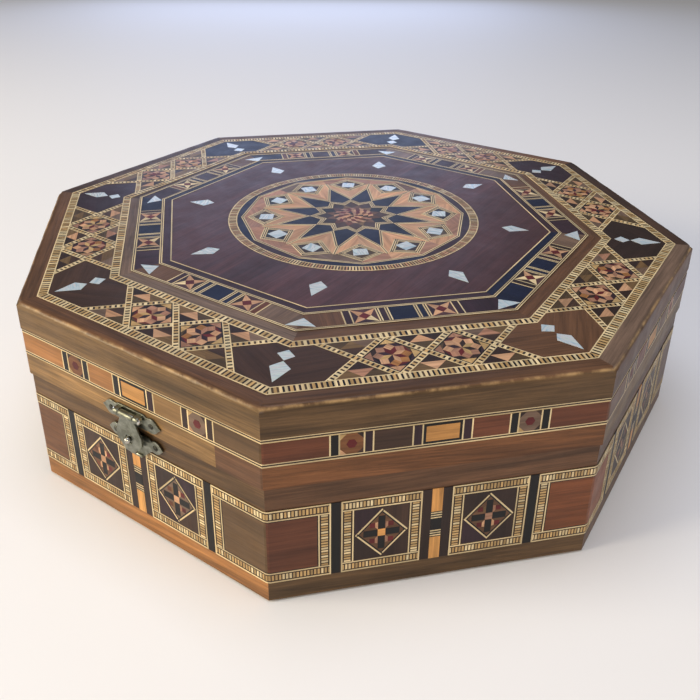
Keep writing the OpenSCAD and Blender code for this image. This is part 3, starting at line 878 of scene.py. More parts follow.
def sweep(name, profile, tones_at, wear_and_highlight_at, bend_at, stations):
    """Eight mitred lengths of one closed section, given as distances and heights."""
    verts, faces, tones, grains, wears_and_highlights = [], [], [], [], []
    rows = len(profile)
    for n in range(1, SIDES + 1):
        spin = turn(n)
        shift = rng.uniform(0, 300)
        start = len(verts)
        for i in range(stations + 1):
            t = 2 * i / stations - 1
            across = 0.0
            for j, (d, z) in enumerate(profile):
                before = profile[j - 1] if j else (d, z)
                across += math.hypot(d - before[0], z - before[1])
                bend_d, bend_z = bend_at(n, t, j)
                d, z = d + bend_d, z + bend_z
                verts.append(spin @ Vector((t * d * HALF_TAN, -d, z)))
                tones.append(tones_at(n, j))
                grains.append((t * d * HALF_TAN + shift, across + shift, n * 7.0))
                wears_and_highlights.append(wear_and_highlight_at(j))
        for i in range(stations):
            for j in range(rows):
                a, b = start + i * rows + j, start + i * rows + (j + 1) % rows
                faces.append((a, b, b + rows, a + rows))
        faces.append(tuple(start + j for j in reversed(range(rows))))
        faces.append(tuple(start + stations * rows + j for j in range(rows)))
    mesh = new_mesh(name, verts, faces)
    store(mesh, tones, grains, wears_and_highlights)
    smooth_by_angle(mesh, 35)
    return mesh


# ---- Edge of the lid ------------------------------------------------------

EDGE_R = 1.5             # rounding of the top edge
ARC_STEPS = 8
TOP_EDGE_WOODS = ("walnut", "walnut", "taupe", "walnut_dark", "walnut", "walnut", "walnut_dark", "walnut")
UPPER_WOODS = ("olive", "umber", "walnut", "olive", "walnut_dark", "olive", "walnut", "olive_dark")


def lid_edge():
    """Top edge and upper side band in one section, with a light line along the corner that is partly worn
    wood and partly a painted highlight.
    """
    z_low = low("lid_upper_band")
    profile = [(EDGE_IN, TOP_Z - SKIN_T * 2), (EDGE_IN, TOP_Z + GROUND)]
    flat = LID_A - EDGE_R - EDGE_IN
    profile += [(EDGE_IN + flat * t, TOP_Z + GROUND * (1 - t)) for t in (0.35, 0.7, 1.0)]
    first = len(profile) - 1
    for i in range(1, ARC_STEPS + 1):
        a = math.pi / 2 * (1 - i / ARC_STEPS)
        profile.append((LID_A - EDGE_R + EDGE_R * math.cos(a), TOP_Z - EDGE_R + EDGE_R * math.sin(a)))
    profile += [(LID_A, z_low + (TOP_Z - EDGE_R - z_low) * t) for t in (0.8, 0.5, 0.2, 0.0)]
    profile += [(LID_A - SKIN_T, z_low), (LID_A - SKIN_T, TOP_Z - SKIN_T * 2)]

    def share(j):
        return (j - first) / ARC_STEPS

    top_tones = [tone(wood_name, 0.08) for wood_name in TOP_EDGE_WOODS]
    side_tones = [tone(wood_name, 0.08) for wood_name in UPPER_WOODS]

    def tones_at(n, j):
        return side_tones[n - 1] if share(j) > 0.5 else top_tones[n - 1]

    def bend_at(n, t, j):
        """Dents and rubbing along the corner, and rounded ends at the eight points."""
        if not 0 < share(j) < 1:
            return 0.0, 0.0
        hump = math.sin(math.pi * share(j))
        dents = 0.30 * abs(noise.noise(Vector((t * 3.4, n * 5.0, share(j) * 0.5))))
        dents += 0.14 * abs(noise.noise(Vector((t * 17, n * 3.0, share(j)))))
        dents += 0.5 * max(0.0, (abs(t) - 0.965) / 0.035)
        return -hump * dents, -hump * dents

    # Strongest in the middle of the rounding: wear, and a painted highlight where the corner catches the
    # light.
    def wear_and_highlight_at(j):
        return max(0.0, math.sin(math.pi * share(j))) ** 4 if 0 < share(j) < 1 else 0.0

    mesh = sweep("lid_edge_band", profile, tones_at, wear_and_highlight_at, bend_at, 96)
    piece("lid_edge_band", mesh, EDGE_WOOD, "lid", "walnut", "lid_edge_strips", "lid_upper_band")


# ---- Sides ----------------------------------------------------------------

EASE = 0.8               # how far from a corner of the octagon the tiles begin to fall back


class SideInlay(Inlay):
    """Tiles on the upright sides. Their ends are eased at the corners of the octagon."""

    def __init__(self, name, apothem):
        super().__init__(name)
        self.apothem = apothem
        self.half = apothem * HALF_TAN

    def go_to(self, n):
        spin, apothem = turn(n), self.apothem

        def place(s, z, w):
            ease = max(0.0, abs(s) - (self.half - EASE)) / EASE
            w -= 0.22 * ease * ease
            limit = (apothem + w) * HALF_TAN
            return spin @ Vector((max(-limit, min(limit, s)), -(apothem + w), z))

        self.place = place

    def tile(self, poly, *args, **kwargs):
        """Splits a tile where the eased corner begins, keeping one wood for both parts."""
        cut = self.half - EASE
        if not min(abs(p[0]) for p in poly) < cut < max(abs(p[0]) for p in poly):
            super().tile(poly, *args, **kwargs)
            return
        state = rng.getstate()
        for x0, x1 in ((-self.half, -cut), (-cut, cut), (cut, self.half)):
            rng.setstate(state)
            held = clip(anticlockwise(poly), box2(x0, -1000, x1, 1000))
            if len(held) > 2:
                super().tile(held, *args, **kwargs)


def side_band(name, apothem, node, woods, body):
    z0, z1 = low(node), high(node)
    inlay = SideInlay(name, apothem)
    for n in range(1, SIDES + 1):
        inlay.go_to(n)
        parts = woods[n - 1].split()
        edges = (-inlay.half, inlay.half) if len(parts) == 1 else (-inlay.half, 38, inlay.half)
        for wood_name, a, b in zip(parts, edges, edges[1:]):
            inlay.tile(box2(a, z0, b, z1), wood_name, rng.uniform(-2.5, 2.5), GROUND, None, 0.08)
    inlay.build(VENEER_WOOD, body, "walnut", node)


SIDE_SHIFT = {n: (rng.uniform(-1.2, 1.2), rng.uniform(-1.2, 1.2)) for n in range(1, SIDES + 1)}
SIDE_SHIFT[1] = (1.7, -1.9)      # the side with the latch: lid and base are not quite in line
SIDE_SHIFT[2] = (0.0, 0.1)
STRIPE_WOODS = ("dark_brown", "plum", "black")

# The band round the lid, as distances from its middle
STRIPES = ((6.4, 2.6), (22.3, 2.4), (33.1, 2.4))     # start, and width of the dark part
BLOCK_FROM, BLOCK_TO, END_FROM = 10.0, 22.3, 36.5
RED_SQUARE_AT, RED_SQUARE_HALF = 29.4, 3.7
LIGHT_BLOCK = 6.4        # half length of the bordered light block
LIGHT_RIM = 0.9

# The row round the base, as distances from its middle
COLUMN_HALF, FLANK_TO = 1.9, 5.2
DIAMOND_AT, DIAMOND_HALF = 18.85, 13.65
STRIPE_FROM, STRIPE_DARK, FRAME_FROM = 32.5, 32.9, 35.9


def lid_segments():
    """The band round the lid: blocks between stripes, with a bordered light block in the middle."""
    node = "lid_inlay_band"
    inlay = SideInlay("lid_segment_tiles", LID_A)
    z0, z1 = low(node), high(node)
    rim = 1.55
    for n in range(1, SIDES + 1):
        inlay.go_to(n)
        for z, up in ((z0, 1), (z1, -1)):
            for a, b, wood_name in ((0, 0.5, "cream"), (0.5, 1.05, "dark_brown"), (1.05, rim, "cream")):
                strip = box2(-inlay.half, z + up * a, inlay.half, z + up * b)
                inlay.tile(strip, wood_name, 0, STRIP, None, 0.06)
        low_z, high_z = z0 + rim, z1 - rim
        x = SIDE_SHIFT[n][0]

        def column(a, b, woods, level=TILE, grain=90):
            whole = box2(-inlay.half, z0, inlay.half, z1)
            inlay.tile(box2(a, low_z, b, high_z), woods, grain, level, whole)

        column(x - LIGHT_BLOCK, x + LIGHT_BLOCK, "black", GROUND)
        light = box2(x - 5.5, low_z + LIGHT_RIM, x + 5.5, high_z - LIGHT_RIM)
        inlay.tile(light, "orange", 0, TILE)
        for s in (-1, 1):
            for start, stripe in STRIPES:
                column(x + s * start, x + s * (start + 0.5), "cream")
                column(x + s * (start + 0.5), x + s * (start + 0.5 + stripe), STRIPE_WOODS)
                column(x + s * (start + 0.5 + stripe), x + s * (start + 1 + stripe), "cream")
            column(x + s * BLOCK_FROM, x + s * BLOCK_TO, BLOCK_WOODS[n - 1][s > 0], GROUND, 0)
            column(x + s * END_FROM, s * inlay.half, END_WOODS[n - 1][s > 0], GROUND, 0)
            square_at = (x + s * RED_SQUARE_AT, (low_z + high_z) / 2)
            red_square(inlay, square_at, RED_SQUARE_HALF, (high_z - low_z) / 2)
    inlay.build(SIDE_INLAY_WOOD, "lid", "marquetry", node)


END_WOODS = (("honey", "umber"), ("rust", "rust"), ("walnut", "rust"), ("rust", "red_brown"),
             ("walnut_dark", "rust"), ("red_brown", "rust"), ("rust", "walnut"), ("walnut", "red_brown"))
BLOCK_WOODS = (("honey", "gold"), ("walnut_dark", "rust"), ("rust", "walnut"), ("red_brown", "rust"),
               ("rust", "rust"), ("walnut", "red_brown"), ("red_brown", "walnut"), ("rust", "walnut_dark"))


def red_square(inlay, centre, half_x, half_y):
    """A light square with dark corners and a red six-sided middle."""
    cx, cy = centre
    whole = box2(cx - half_x, cy - half_y, cx + half_x, cy + half_y)
    inlay.tile(whole, ("taupe", "chestnut", "pink"), 0, GROUND)
    cut_x, cut_y = half_x * 0.55, half_y * 0.55
    woods = rng.choice((("straw", "dark_brown", "walnut_dark", "dark_brown"),
                        ("tan", "straw", "dark_brown", "walnut_dark")))
    for wood_name, (sx, sy) in zip(woods, ((-1, -1), (-1, 1), (1, 1), (1, -1))):
        x, y = cx + sx * half_x, cy + sy * half_y
        inlay.tile([(x, y), (x - sx * cut_x, y), (x, y - sy * cut_y)], wood_name, 0, TILE)
    inlay.tile([(cx + x, cy + y) for x, y in (polar(1.75, 60 * k) for k in range(6))], "maroon", 0, STRIP)


SIDE_LIGHTS = ("straw", "straw", "cream")
BORDER = 4.6             # width of a side border
SIDE_PITCH = 1.2         # one check of a side border
CHECK_HALF = 1.12        # half the length of such a check
TUCK = 0.4               # how far the upright borders run under the level ones


def border(inlay, p, q, inner):
    """A side border from p to q: checks between two cream lines. The panel is to the left if inner is 1."""
    half = BORDER / 2
    inlay.tile(bar(p, q, -half, half), "dark_brown", direction(p, q), GROUND)
    near_line = (inner * (half - 0.85), inner * (half - 0.4), "cream")
    far_line = (-inner * half, -inner * (half - 0.5), "cream")
    inlay.lines(p, q, [near_line, far_line])
    centre = -inner * 0.18
    length = math.hypot(q[0] - p[0], q[1] - p[1])
    count = max(1, round(length / SIDE_PITCH))
    for i in range(count):
        a, b = (i + 0.18) / count, (i + 0.84) / count
        block = bar(along(p, q, a), along(p, q, b), centre - CHECK_HALF, centre + CHECK_HALF)
        inlay.tile(block, SIDE_LIGHTS, direction(p, q) + 90, TILE, None, 0.12)


def base_row():
    """The framed row round the base: centre column, two framed diamonds, stripes and corner frames."""
    node = "base_inlay_row"
    inlay = SideInlay("base_row_tiles", BASE_A)
    z0, z1 = low(node), high(node)
    mid = (z0 + z1) / 2
    for n in range(1, SIDES + 1):
        inlay.go_to(n)
        whole = box2(-inlay.half, z0, inlay.half, z1)
        x = SIDE_SHIFT[n][1]
        centre_column(inlay, x, z0, z1)
        for s in (-1, 1):

            def column(a, b, woods):
                inlay.tile(box2(x + s * a, z0, x + s * b, z1), woods, 90, GROUND, whole)

            column(COLUMN_HALF, FLANK_TO, ("dark_brown", "walnut_dark", "dark_brown"))
            framed_diamond(inlay, (x + s * DIAMOND_AT, mid), DIAMOND_HALF, (z1 - z0) / 2)
            column(STRIPE_FROM, STRIPE_DARK, "dark_brown")
            column(STRIPE_DARK, FRAME_FROM, "black")
            corner_frame(inlay, x + s * FRAME_FROM, s, z0, z1, PANEL_WOODS[n - 1][s > 0])
    inlay.build(SIDE_INLAY_WOOD, "base", "marquetry", node)


PANEL_WOODS = (("chestnut", "umber"), ("rust", "red_brown"), ("red_brown", "walnut"), ("rust", "walnut"),
               ("walnut", "rust"), ("rust", "red_brown"), ("walnut", "rust"), ("red_brown", "walnut"))


def centre_column(inlay, x, z0, z1):
    mid = (z0 + z1) / 2
    half = COLUMN_HALF
    inlay.tile(box2(x - half, mid - 2.6, x + half, mid + 2.6), "black", 90)
    for s in (-1, 1):
        steps = ((2.6, 3.1, "cream"), (3.1, 3.65, "black"), (3.65, 4.15, "cream"), (4.15, 4.7, "black"),
                 (4.7, 5.2, "cream"), (5.2, 5.6, "black"), (5.6, mid - z0, "orange"))
        for a, b, woods in steps:
            inlay.tile(box2(x - half, mid + s * a, x + half, mid + s * b), woods, 90)


def framed_diamond(inlay, centre, half_x, half_y):
    cx, cy = centre
    inset = BORDER / 2
    for s in (-1, 1):
        y = cy + s * (half_y - inset)
        border(inlay, (cx - half_x, y), (cx + half_x, y), -s)
        x = cx + s * (half_x - inset)
        border(inlay, (x, cy - half_y + BORDER - TUCK), (x, cy + half_y - BORDER + TUCK), s)
        left, right = sorted((cx + s * half_x, cx + s * (half_x - 0.5)))
        inlay.tile(box2(left, cy - half_y, right, cy + half_y), "cream", 90, STRIP + 0.012)
    wx, wy = half_x - BORDER, half_y - BORDER
    dx, dy = wx - 0.05, wy - 0.5
    tips = [(cx + dx, cy), (cx, cy + dy), (cx - dx, cy), (cx, cy - dy)]
    for k in range(4):
        sx, sy = ((1, 1), (-1, 1), (-1, -1), (1, -1))[k]
        corner = (cx + sx * wx, cy + sy * wy)
        quarter = [(cx, cy), (cx + sx * wx, cy), corner, (cx, cy + sy * wy)]
        inlay.tile(quarter, ("dark_brown", "plum", "dark_brown", "walnut_dark"), 90, GROUND)
        inlay.lines(tips[k], tips[(k + 1) % 4], [(0, 0.55, "cream"), (0.55, 1.0, "black")], STRIP, tips)
    inside = [along(centre, p, 1 - 1.0 * math.sqrt(2) / dx) for p in tips]
    inlay.tile(inside, ("taupe", "walnut", "taupe"), 0, TILE - 0.015)
    arm_x, arm_y, wide_x, wide_y, start_x, start_y = 6.2, 7.2, 1.2, 1.4, 1.3, 1.5
    middle = box2(cx - start_x, cy - start_y, cx + start_x, cy + start_y)
    inlay.tile(middle, ("tan", "orange", "pink"), 0, TILE)
    for s in (-1, 1):
        level_arm = box2(cx + s * start_x, cy - wide_y, cx + s * arm_x, cy + wide_y)
        inlay.tile(level_arm, "black", 0, TILE, inside, 0.05)
        upright_arm = box2(cx - wide_x, cy + s * start_y, cx + wide_x, cy + s * arm_y)
        inlay.tile(upright_arm, "black", 90, TILE, inside, 0.05)
        for t in (-1, 1):
            x, y = cx + s * 3.15, cy + t * 3.4
            red = box2(x - 0.95, y - 1.0, x + 0.95, y + 1.0)
            inlay.tile(red, ("maroon", "maroon", "rust"), 0, TILE, inside)
            sliver = [(cx + s * start_x, cy + t * start_y), (cx + s * start_x, cy + t * 4.6),
                      (cx + s * 2.2, cy + t * 4.4), (cx + s * 2.2, cy + t * 2.4)]
            inlay.tile(sliver, ("pink", "olive", "tan"), 45, TILE, inside)


def corner_frame(inlay, start, s, z0, z1, panel_wood):
    """A frame that runs round the corner of the box: one upright border and two level ones."""
    end = s * inlay.half
    inset = BORDER / 2
    for z, up in ((z0, 1), (z1, -1)):
        border(inlay, (start, z + up * inset), (end, z + up * inset), up * s)
    middle = start + s * inset
    border(inlay, (middle, z0 + BORDER - TUCK), (middle, z1 - BORDER + TUCK), -s)
    left, right = sorted((start, start + s * 0.5))
    inlay.tile(box2(left, z0, right, z1), "cream", 90, STRIP + 0.012)
    left, right = sorted((start + s * BORDER, end))
    inlay.tile(box2(left, z0 + BORDER, right, z1 - BORDER), panel_wood, 0, GROUND, None, 0.1)


# ---- Latch ----------------------------------------------------------------

AXIS_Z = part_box("latch_pin")[0][2] * 500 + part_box("latch_pin")[1][2] * 500
AXIS_OUT = -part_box("latch_pin")[0][1] * 500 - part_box("latch_pin")[1][1] * 500 - LID_A
PIN_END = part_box("latch_pin")[1][0] * 1000
CATCH_Z = (low("latch_catch") + high("latch_catch")) / 2
BALL_R = (high("latch_catch") - low("latch_catch")) / 2
CATCH_OUT = -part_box("latch_catch")[0][1] * 1000 - LID_A - BALL_R


def arc(cx, cy, r, start, end, steps):
    return [(cx + r * math.cos(math.radians(start + (end - start) * i / steps)),
             cy + r * math.sin(math.radians(start + (end - start) * i / steps))) for i in range(steps + 1)]


def mirrored(right):
    """A closed outline from its right half, which runs from the top middle to the bottom middle."""
    return right + [(-x, y) for x, y in reversed(right) if abs(x) > 0.01]


def sheet_metal(outline, holes, out0, out1, round_r=0.14):
    """A stamped sheet in front of the lid face, with eased edges: its vertices and faces."""
    curve = bpy.data.curves.new("outline", "CURVE")
    curve.dimensions = "2D"
    curve.fill_mode = "BOTH"
    curve.extrude = (out1 - out0) / 2 - round_r
    curve.bevel_depth = round_r
    curve.bevel_resolution = 2
    curve.offset = -round_r
    for loop in [outline] + holes:
        spline = curve.splines.new("POLY")
        spline.points.add(len(loop) - 1)
        for point, (x, y) in zip(spline.points, loop):
            point.co = (x, y, 0, 1)
        spline.use_cyclic_u = True
    holder = bpy.data.objects.new("outline", curve)
    mesh = bpy.data.meshes.new_from_object(holder)
    middle = (out0 + out1) / 2
    verts = [Vector((v.co.x, -LID_A - middle - v.co.z, v.co.y)) for v in mesh.vertices]
    faces = [tuple(f.vertices) for f in mesh.polygons]
    bpy.data.objects.remove(holder)
    bpy.data.curves.remove(curve)
    bpy.data.meshes.remove(mesh)
    return verts, faces


def lathe(profile, centre, axis, steps=32):
    """Turns a section of distances along the axis and radii, closed at both ends. Y runs out of the lid."""
    verts, faces = [], []
    for position, r in profile:
        for i in range(steps):
            a = 2 * math.pi * i / steps
            x, y = (position, r * math.cos(a)) if axis == "X" else (r * math.cos(a), -position)
            verts.append(Vector((x, y, r * math.sin(a))) + Vector(centre))
    for j in range(len(profile) - 1):
        for i in range(steps):
            a, b = j * steps + i, j * steps + (i + 1) % steps
            faces.append((a, b, b + steps, a + steps))
    faces.append(tuple(range(steps)))
    faces.append(tuple((len(profile) - 1) * steps + i for i in reversed(range(steps))))
    return verts, faces


def tube(x0, x1):
    """A knuckle about the pin, with eased rims."""
    r, ease = KNUCKLE_R, 0.2
    profile = [(x0, r - ease), (x0 + ease * 0.3, r - ease * 0.3), (x0 + ease, r)]
    profile += [(x0 + x1 - x, radius) for x, radius in reversed(profile)]
    return lathe(profile, (0, -LID_A - AXIS_OUT, AXIS_Z), "X")


def nail(x, z, out):
    """A nail with a domed head on the plate and its shank in the wood."""
    profile = [(-NAIL_LENGTH, NAIL_R), (0, NAIL_R), (0, HEAD_R)]
    for i in range(1, 8):
        a = math.pi / 2 * i / 7
        profile.append((HEAD_HIGH * math.sin(a), max(0.05, HEAD_R * math.cos(a))))
    return lathe(profile, (x, -LID_A - out, z), "Y")


def web(x0, x1, z0, z1, out0, out1):
    """A small tab with eased edges that ties a knuckle to its plate."""
    return sheet_metal([(x0, z0), (x1, z0), (x1, z1), (x0, z1)], [], out0, out1, 0.1)


def metal_piece(name, parts, material, body, slot, *nodes):
    verts, faces = [], []
    for part_verts, part_faces in parts:
        start = len(verts)
        verts += part_verts
        faces += [tuple(i + start for i in f) for f in part_faces]
    mesh = new_mesh(name, verts, faces)
    smooth_by_angle(mesh, 32, True)
    piece(name, mesh, material, body, slot, *nodes)


LOBE_X = 9.7
LID_LOBE_Z = AXIS_Z - 1.5
BASE_LOBE_Z = CATCH_Z - 1.4
SHEET_T = 0.7
BASE_OUT = BASE_A - LID_A
HASP_W = 7.0
KNUCKLE_GAP = 0.2
KNUCKLE_R = 1.3
NAIL_LENGTH, NAIL_R, HEAD_R, HEAD_HIGH = 6, 0.5, 1.15, 0.5
NAIL_HOLE_R = 0.6
HASP_HOLE_R = 1.75
CATCH_STEM_R = 0.9
PIN_HEAD = 0.8           # length of the pin's domed ends
LIP = 7.9                # how far the rolled lip of the base plate lies under the catch


def nail_holes(z):
    return [arc(s * LOBE_X, z, NAIL_HOLE_R, 0, 330, 11) for s in (-1, 1)]


def latch():
    z = LID_LOBE_Z
    right = [(0, z + 3.3), (6.2, z + 3.3), (7.3, z + 2.6)] + arc(LOBE_X, z, 3, 118, 42, 7)
    right += [(13.0, z + 0.9), (14.0, z + 0.1), (14.0, z - 0.1), (13.0, z - 0.9)]
    right += arc(LOBE_X, z, 3, -42, -118, 7) + [(7.0, z - 2.9), (0, z - 2.9)]
    inner_end, outer_end = HASP_W / 2 + KNUCKLE_GAP, PIN_END - PIN_HEAD
    spans = ((inner_end, outer_end), (-outer_end, -inner_end))
    parts = [sheet_metal(mirrored(right), nail_holes(z), 0, SHEET_T)]
    parts += [tube(x0, x1) for x0, x1 in spans]
    parts += [web(x0, x1, AXIS_Z + 0.1, AXIS_Z + KNUCKLE_R, 0.4, AXIS_OUT) for x0, x1 in spans]
    metal_piece("latch_lid_plate_stamped", parts, OLD_BRONZE, "lid", "old_bronze", "latch_lid_plate")

    pin_r = 0.5
    half = [(outer_end, pin_r), (outer_end, 1.15), (PIN_END - 0.55, 1.25), (PIN_END - 0.25, 1.0),
            (PIN_END - 0.05, 0.5), (PIN_END, 0.1)]
    profile = [(-x, r) for x, r in reversed(half)] + half
    pin = lathe(profile, (0, -LID_A - AXIS_OUT, AXIS_Z), "X")
    metal_piece("latch_pin_domed", [pin], BRIGHT_STEEL, "lid", "steel", "latch_pin")

    z = CATCH_Z
    right = [(0, AXIS_Z - 0.3), (3.4, AXIS_Z - 0.3), (3.45, z + 8.2), (6.2, z + 2.0), (6.1, z - 0.9),
             (5.0, z - 2.4), (3.2, z - 3.9), (2.4, z - 5.2), (0, z - 5.4)]
    hole = arc(0, z, HASP_HOLE_R, 0, 345, 23)
    parts = [sheet_metal(mirrored(right), [hole], AXIS_OUT - 0.4, AXIS_OUT + 0.4, 0.16)]
    parts.append(tube(-HASP_W / 2, HASP_W / 2))
    metal_piece("latch_hasp_stamped", parts, OLD_BRONZE, "hasp", "old_bronze", "latch_hasp")

    lobe_z = BASE_LOBE_Z
    right = [(0, z + 1.4), (6.6, z + 1.4), (7.8, z + 0.5)] + arc(LOBE_X, lobe_z, 2.6, 112, 42, 6)
    right += [(12.6, lobe_z + 0.7), (13.3, lobe_z), (12.6, lobe_z - 0.7)]
    right += arc(LOBE_X, lobe_z, 2.6, -42, -125, 7) + [(6.9, z - 4.4), (3.2, z - LIP), (0, z - LIP)]
    parts = [sheet_metal(mirrored(right), nail_holes(lobe_z), BASE_OUT, BASE_OUT + SHEET_T)]
    lip = [(-3.0, 0.35), (-2.85, 0.62), (-2.6, 0.7), (2.6, 0.7), (2.85, 0.62), (3.0, 0.35)]
    parts.append(lathe(lip, (0, -LID_A - BASE_OUT - SHEET_T, z - LIP), "X", 20))
    metal_piece("latch_base_plate_stamped", parts, OLD_BRONZE, "base", "old_bronze", "latch_base_plate")

    profile = [(-6.0, CATCH_STEM_R), (CATCH_OUT - 1.1, CATCH_STEM_R)]
    for i in range(13):
        a = math.radians(44 + 135.5 * i / 12)
        profile.append((CATCH_OUT - BALL_R * math.cos(a), BALL_R * math.sin(a)))
    ball = lathe(profile, (0, -LID_A, z), "Y")
    metal_piece("latch_catch_ball", [ball], BRIGHT_STEEL, "base", "steel", "latch_catch")
    for name, body, height, out, node in (
        ("latch_nails_lower", "base", BASE_LOBE_Z, BASE_OUT, "latch_nails_base"),
        ("latch_nails_upper", "lid", LID_LOBE_Z, 0, "latch_nails_lid"),
    ):
        nails = [nail(s * LOBE_X, height, out + SHEET_T) for s in (-1, 1)]
        metal_piece(name, nails, DARK_BRONZE, body, "old_bronze", node)


# ---- Lining and felt ------------------------------------------------------


def cloth_frame(name, node, body):
    """Velvet on the eight inner walls: soft, slightly uneven, with a rolled free edge."""
    z0, z1 = low(node), high(node)
    outer = reach(node)
    points = [v.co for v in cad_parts[node].data.vertices]
    inner = min(abs(p.y) for p in points if abs(p.x) < abs(p.y) * HALF_TAN * 1.01) * 1000
    free_high = body == "base"
    levels = [i / 14 for i in range(15)]
    edge_z = (lambda t: z0 + (z1 - z0) * t) if free_high else (lambda t: z1 - (z1 - z0) * t)
    profile = [(outer, edge_z(0)), (inner, edge_z(0))]
    profile += [(inner, edge_z(t)) for t in levels[1:-1]]
    roll = (outer - inner) / 2
    inward = -1 if free_high else 1
    for a in (0, 30, 60, 90, 120, 150, 180):
        r = math.radians(a)
        profile.append((outer - roll - roll * math.cos(r), edge_z(1) + inward * roll * (1 - math.sin(r))))

    def bend_at(n, t, j):
        if not 2 <= j < len(profile) - 7 or abs(t) > 0.985:
            return 0.0, 0.0
        return 0.45 * abs(noise.noise(Vector((t * 2.2, n * 4.0, j * 0.21)))), 0.0

    mesh = sweep(name, profile, lambda n, j: (1, 1, 1, 1), lambda j: 0.0, bend_at, 48)
    piece(name, mesh, RED_VELVET, body, "velvet", node)


def cloth_disc(name, node, body, slot, material, up, ripple, corner_r=0.5):
    """An eight-sided board with soft edges. One face is flat and the other, the upper one if up, uneven."""
    z0, z1 = low(node), high(node)
    flat, free = (z0, z1) if up else (z1, z0)
    sign = 1 if up else -1
    apothem = reach(node)
    rings = [(apothem * f, 0.0) for f in (0.06, 0.16, 0.26, 0.36, 0.46, 0.56, 0.66, 0.76, 0.86, 0.94)]
    for a in (0, 30, 60, 90):
        r = math.radians(a)
        rings.append((apothem - corner_r + corner_r * math.sin(r), corner_r * (1 - math.cos(r))))
    verts, faces = [Vector((0, 0, free))], []
    per_side = 12
    count = SIDES * per_side

    def around(d):
        for i in range(count):
            n, t = i // per_side + 1, 2 * (i % per_side) / per_side - 1
            yield turn(n) @ Vector((t * d * HALF_TAN, -d, 0))

    for d, drop in rings:
        for p in around(d):
            wave = ripple * abs(noise.noise(p * 0.035)) + ripple * 0.4 * abs(noise.noise(p * 0.13))
            verts.append(Vector((p.x, p.y, free - sign * (drop or wave))))
    verts += [Vector((p.x, p.y, flat)) for p in around(apothem)]
    for i in range(count):
        faces.append((0, 1 + i, 1 + (i + 1) % count))
    for j in range(len(rings)):
        for i in range(count):
            a, b = 1 + j * count + i, 1 + j * count + (i + 1) % count
            faces.append((a, a + count, b + count, b))
    faces.append(tuple(1 + len(rings) * count + i for i in reversed(range(count))))
    mesh = new_mesh(name, verts, faces)
    smooth_by_angle(mesh, 50)
    piece(name, mesh, material, body, slot, node)


# ---- Build ----------------------------------------------------------------

checker_ring("outer_checker_tiles", EDGE_IN, CHECK_OUT_IN, 1.7, "top_outer_checker")
checker_ring("inner_checker_tiles", MOSAIC_IN, CHECK_IN_IN, 2.0, "top_inner_checker")
mosaic_band()
plain_ring("walnut_band_veneer", CHECK_IN_IN, WALNUT_IN - 3, ("walnut", "walnut_dark", "taupe", "walnut"),
           VENEER_WOOD, GROUND * 2, NO_SHIFT, "walnut", "top_walnut_band")
segment_band()
plain_ring("dark_band_veneer", SEGMENT_IN, DARK_IN, ("plum", "plum", "navy"), FIELD_WOOD, GROUND, PANEL_SHIFT,
           "rosewood", "top_dark_band")
field()
medallion_ring()
rosette()
all_pearls()
lid_edge()
lid_segments()
side_band("lid_lower_veneer", LID_A, "lid_lower_band",
          ("gold walnut", "chestnut", "olive", "walnut", "olive_dark", "red_brown", "walnut", "olive"), "lid")
side_band("base_upper_veneer", BASE_A, "base_upper_band",
          ("umber", "walnut", "walnut", "olive_dark", "walnut", "walnut_dark", "taupe", "walnut"), "base")
base_row()
side_band("base_lower_veneer", BASE_A, "base_lower_band",
          ("honey", "umber", "walnut", "rust", "olive_dark", "walnut", "walnut_dark", "walnut"), "base")
latch()
cloth_frame("base_wall_velvet", "base_lining_walls", "base")
cloth_frame("lid_wall_velvet", "lid_lining_walls", "lid")
cloth_disc("base_floor_velvet", "base_lining_floor", "base", "velvet", RED_VELVET, True, 0.5)
cloth_disc("lid_panel_velvet", "lid_lining_panel", "lid", "velvet", RED_VELVET, False, 0.4)
cloth_disc("base_felt_pad", "base_felt", "base", "felt", GREEN_FELT, True, 0.0, 0.3)

for name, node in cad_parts.items():
    if "board" in name or name in ("base_floor", "lid_panel"):
        made = BOARD_WOOD
    elif name.startswith("hinge"):
        made = BRASS
    else:
        continue
    node.data.materials.clear()
    node.data.materials.append(made)

# ---- Camera, light and floor ----------------------------------------------

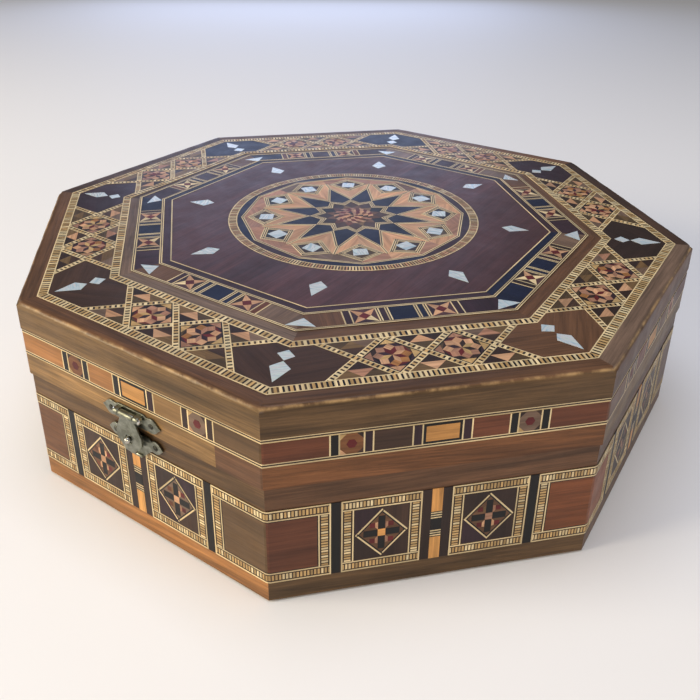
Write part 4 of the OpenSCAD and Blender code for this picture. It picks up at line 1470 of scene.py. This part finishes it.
R = CORNER_R * 0.001
CAMERA_AT = (1.207, -1.860, 1.458)      # in radii of the lid
LOOK_AZIMUTH, LOOK_DOWN, ROLL = 32.71, 24.37, 0.91
camera = bpy.data.objects.new("camera", bpy.data.cameras.new("camera"))
bpy.context.scene.collection.objects.link(camera)
camera.data.sensor_width = 36
camera.data.lens = 39.7
camera.data.shift_x = -0.0112
camera.data.shift_y = -0.157
camera.location = [v * R for v in CAMERA_AT]
camera.rotation_mode = "QUATERNION"
looking = Euler((math.radians(90 - LOOK_DOWN), 0, math.radians(LOOK_AZIMUTH)), "XYZ").to_quaternion()
camera.rotation_quaternion = looking @ Euler((0, 0, math.radians(ROLL))).to_quaternion()
camera.data.clip_start = 0.01
bpy.context.scene.camera = camera


def area_light(name, where, size, power, colour):
    lamp = bpy.data.lights.new(name, "AREA")
    lamp.shape = "RECTANGLE"
    lamp.size, lamp.size_y = size
    lamp.energy = power
    lamp.color = colour
    obj = bpy.data.objects.new(name, lamp)
    bpy.context.scene.collection.objects.link(obj)
    obj.location = where
    obj.rotation_mode = "QUATERNION"
    obj.rotation_quaternion = (-Vector(where)).to_track_quat("-Z", "Y")


area_light("warm_key", (-1.0, -1.15, 0.62), (0.7, 0.6), 25, (1.0, 0.87, 0.66))
area_light("soft_top", (0.0, -0.15, 1.5), (1.0, 1.0), 12, (0.82, 0.86, 1.0))
area_light("cool_back", (-0.85, 1.1, 0.36), (0.9, 0.45), 3.2, (0.55, 0.66, 1.0))
area_light("warm_front", (0.55, -1.3, 0.55), (0.6, 0.5), 8, (1.0, 0.84, 0.64))
area_light("cool_right", (1.35, 0.15, 0.4), (0.8, 0.5), 4, (0.85, 0.88, 1.0))

world = bpy.data.worlds.new("studio")
bpy.context.scene.world = world
world.use_nodes = True
world.node_tree.nodes["Background"].inputs["Color"].default_value = (1.0, 0.96, 0.92, 1)
world.node_tree.nodes["Background"].inputs["Strength"].default_value = 0.17

floor_mesh = bpy.data.meshes.new("floor")
FLOOR = 6.0
floor_mesh.from_pydata([(x, y, 0) for x, y in box2(-FLOOR, -FLOOR, FLOOR, FLOOR)], [], [(0, 1, 2, 3)])
floor = bpy.data.objects.new("floor", floor_mesh)
bpy.context.scene.collection.objects.link(floor)
pale = Nodes("pale_floor")
pale.set(base_color=(0.82, 0.82, 0.82, 1), roughness=0.7)
floor_mesh.materials.append(pale.material)

bpy.context.scene.view_settings.view_transform = "Standard"
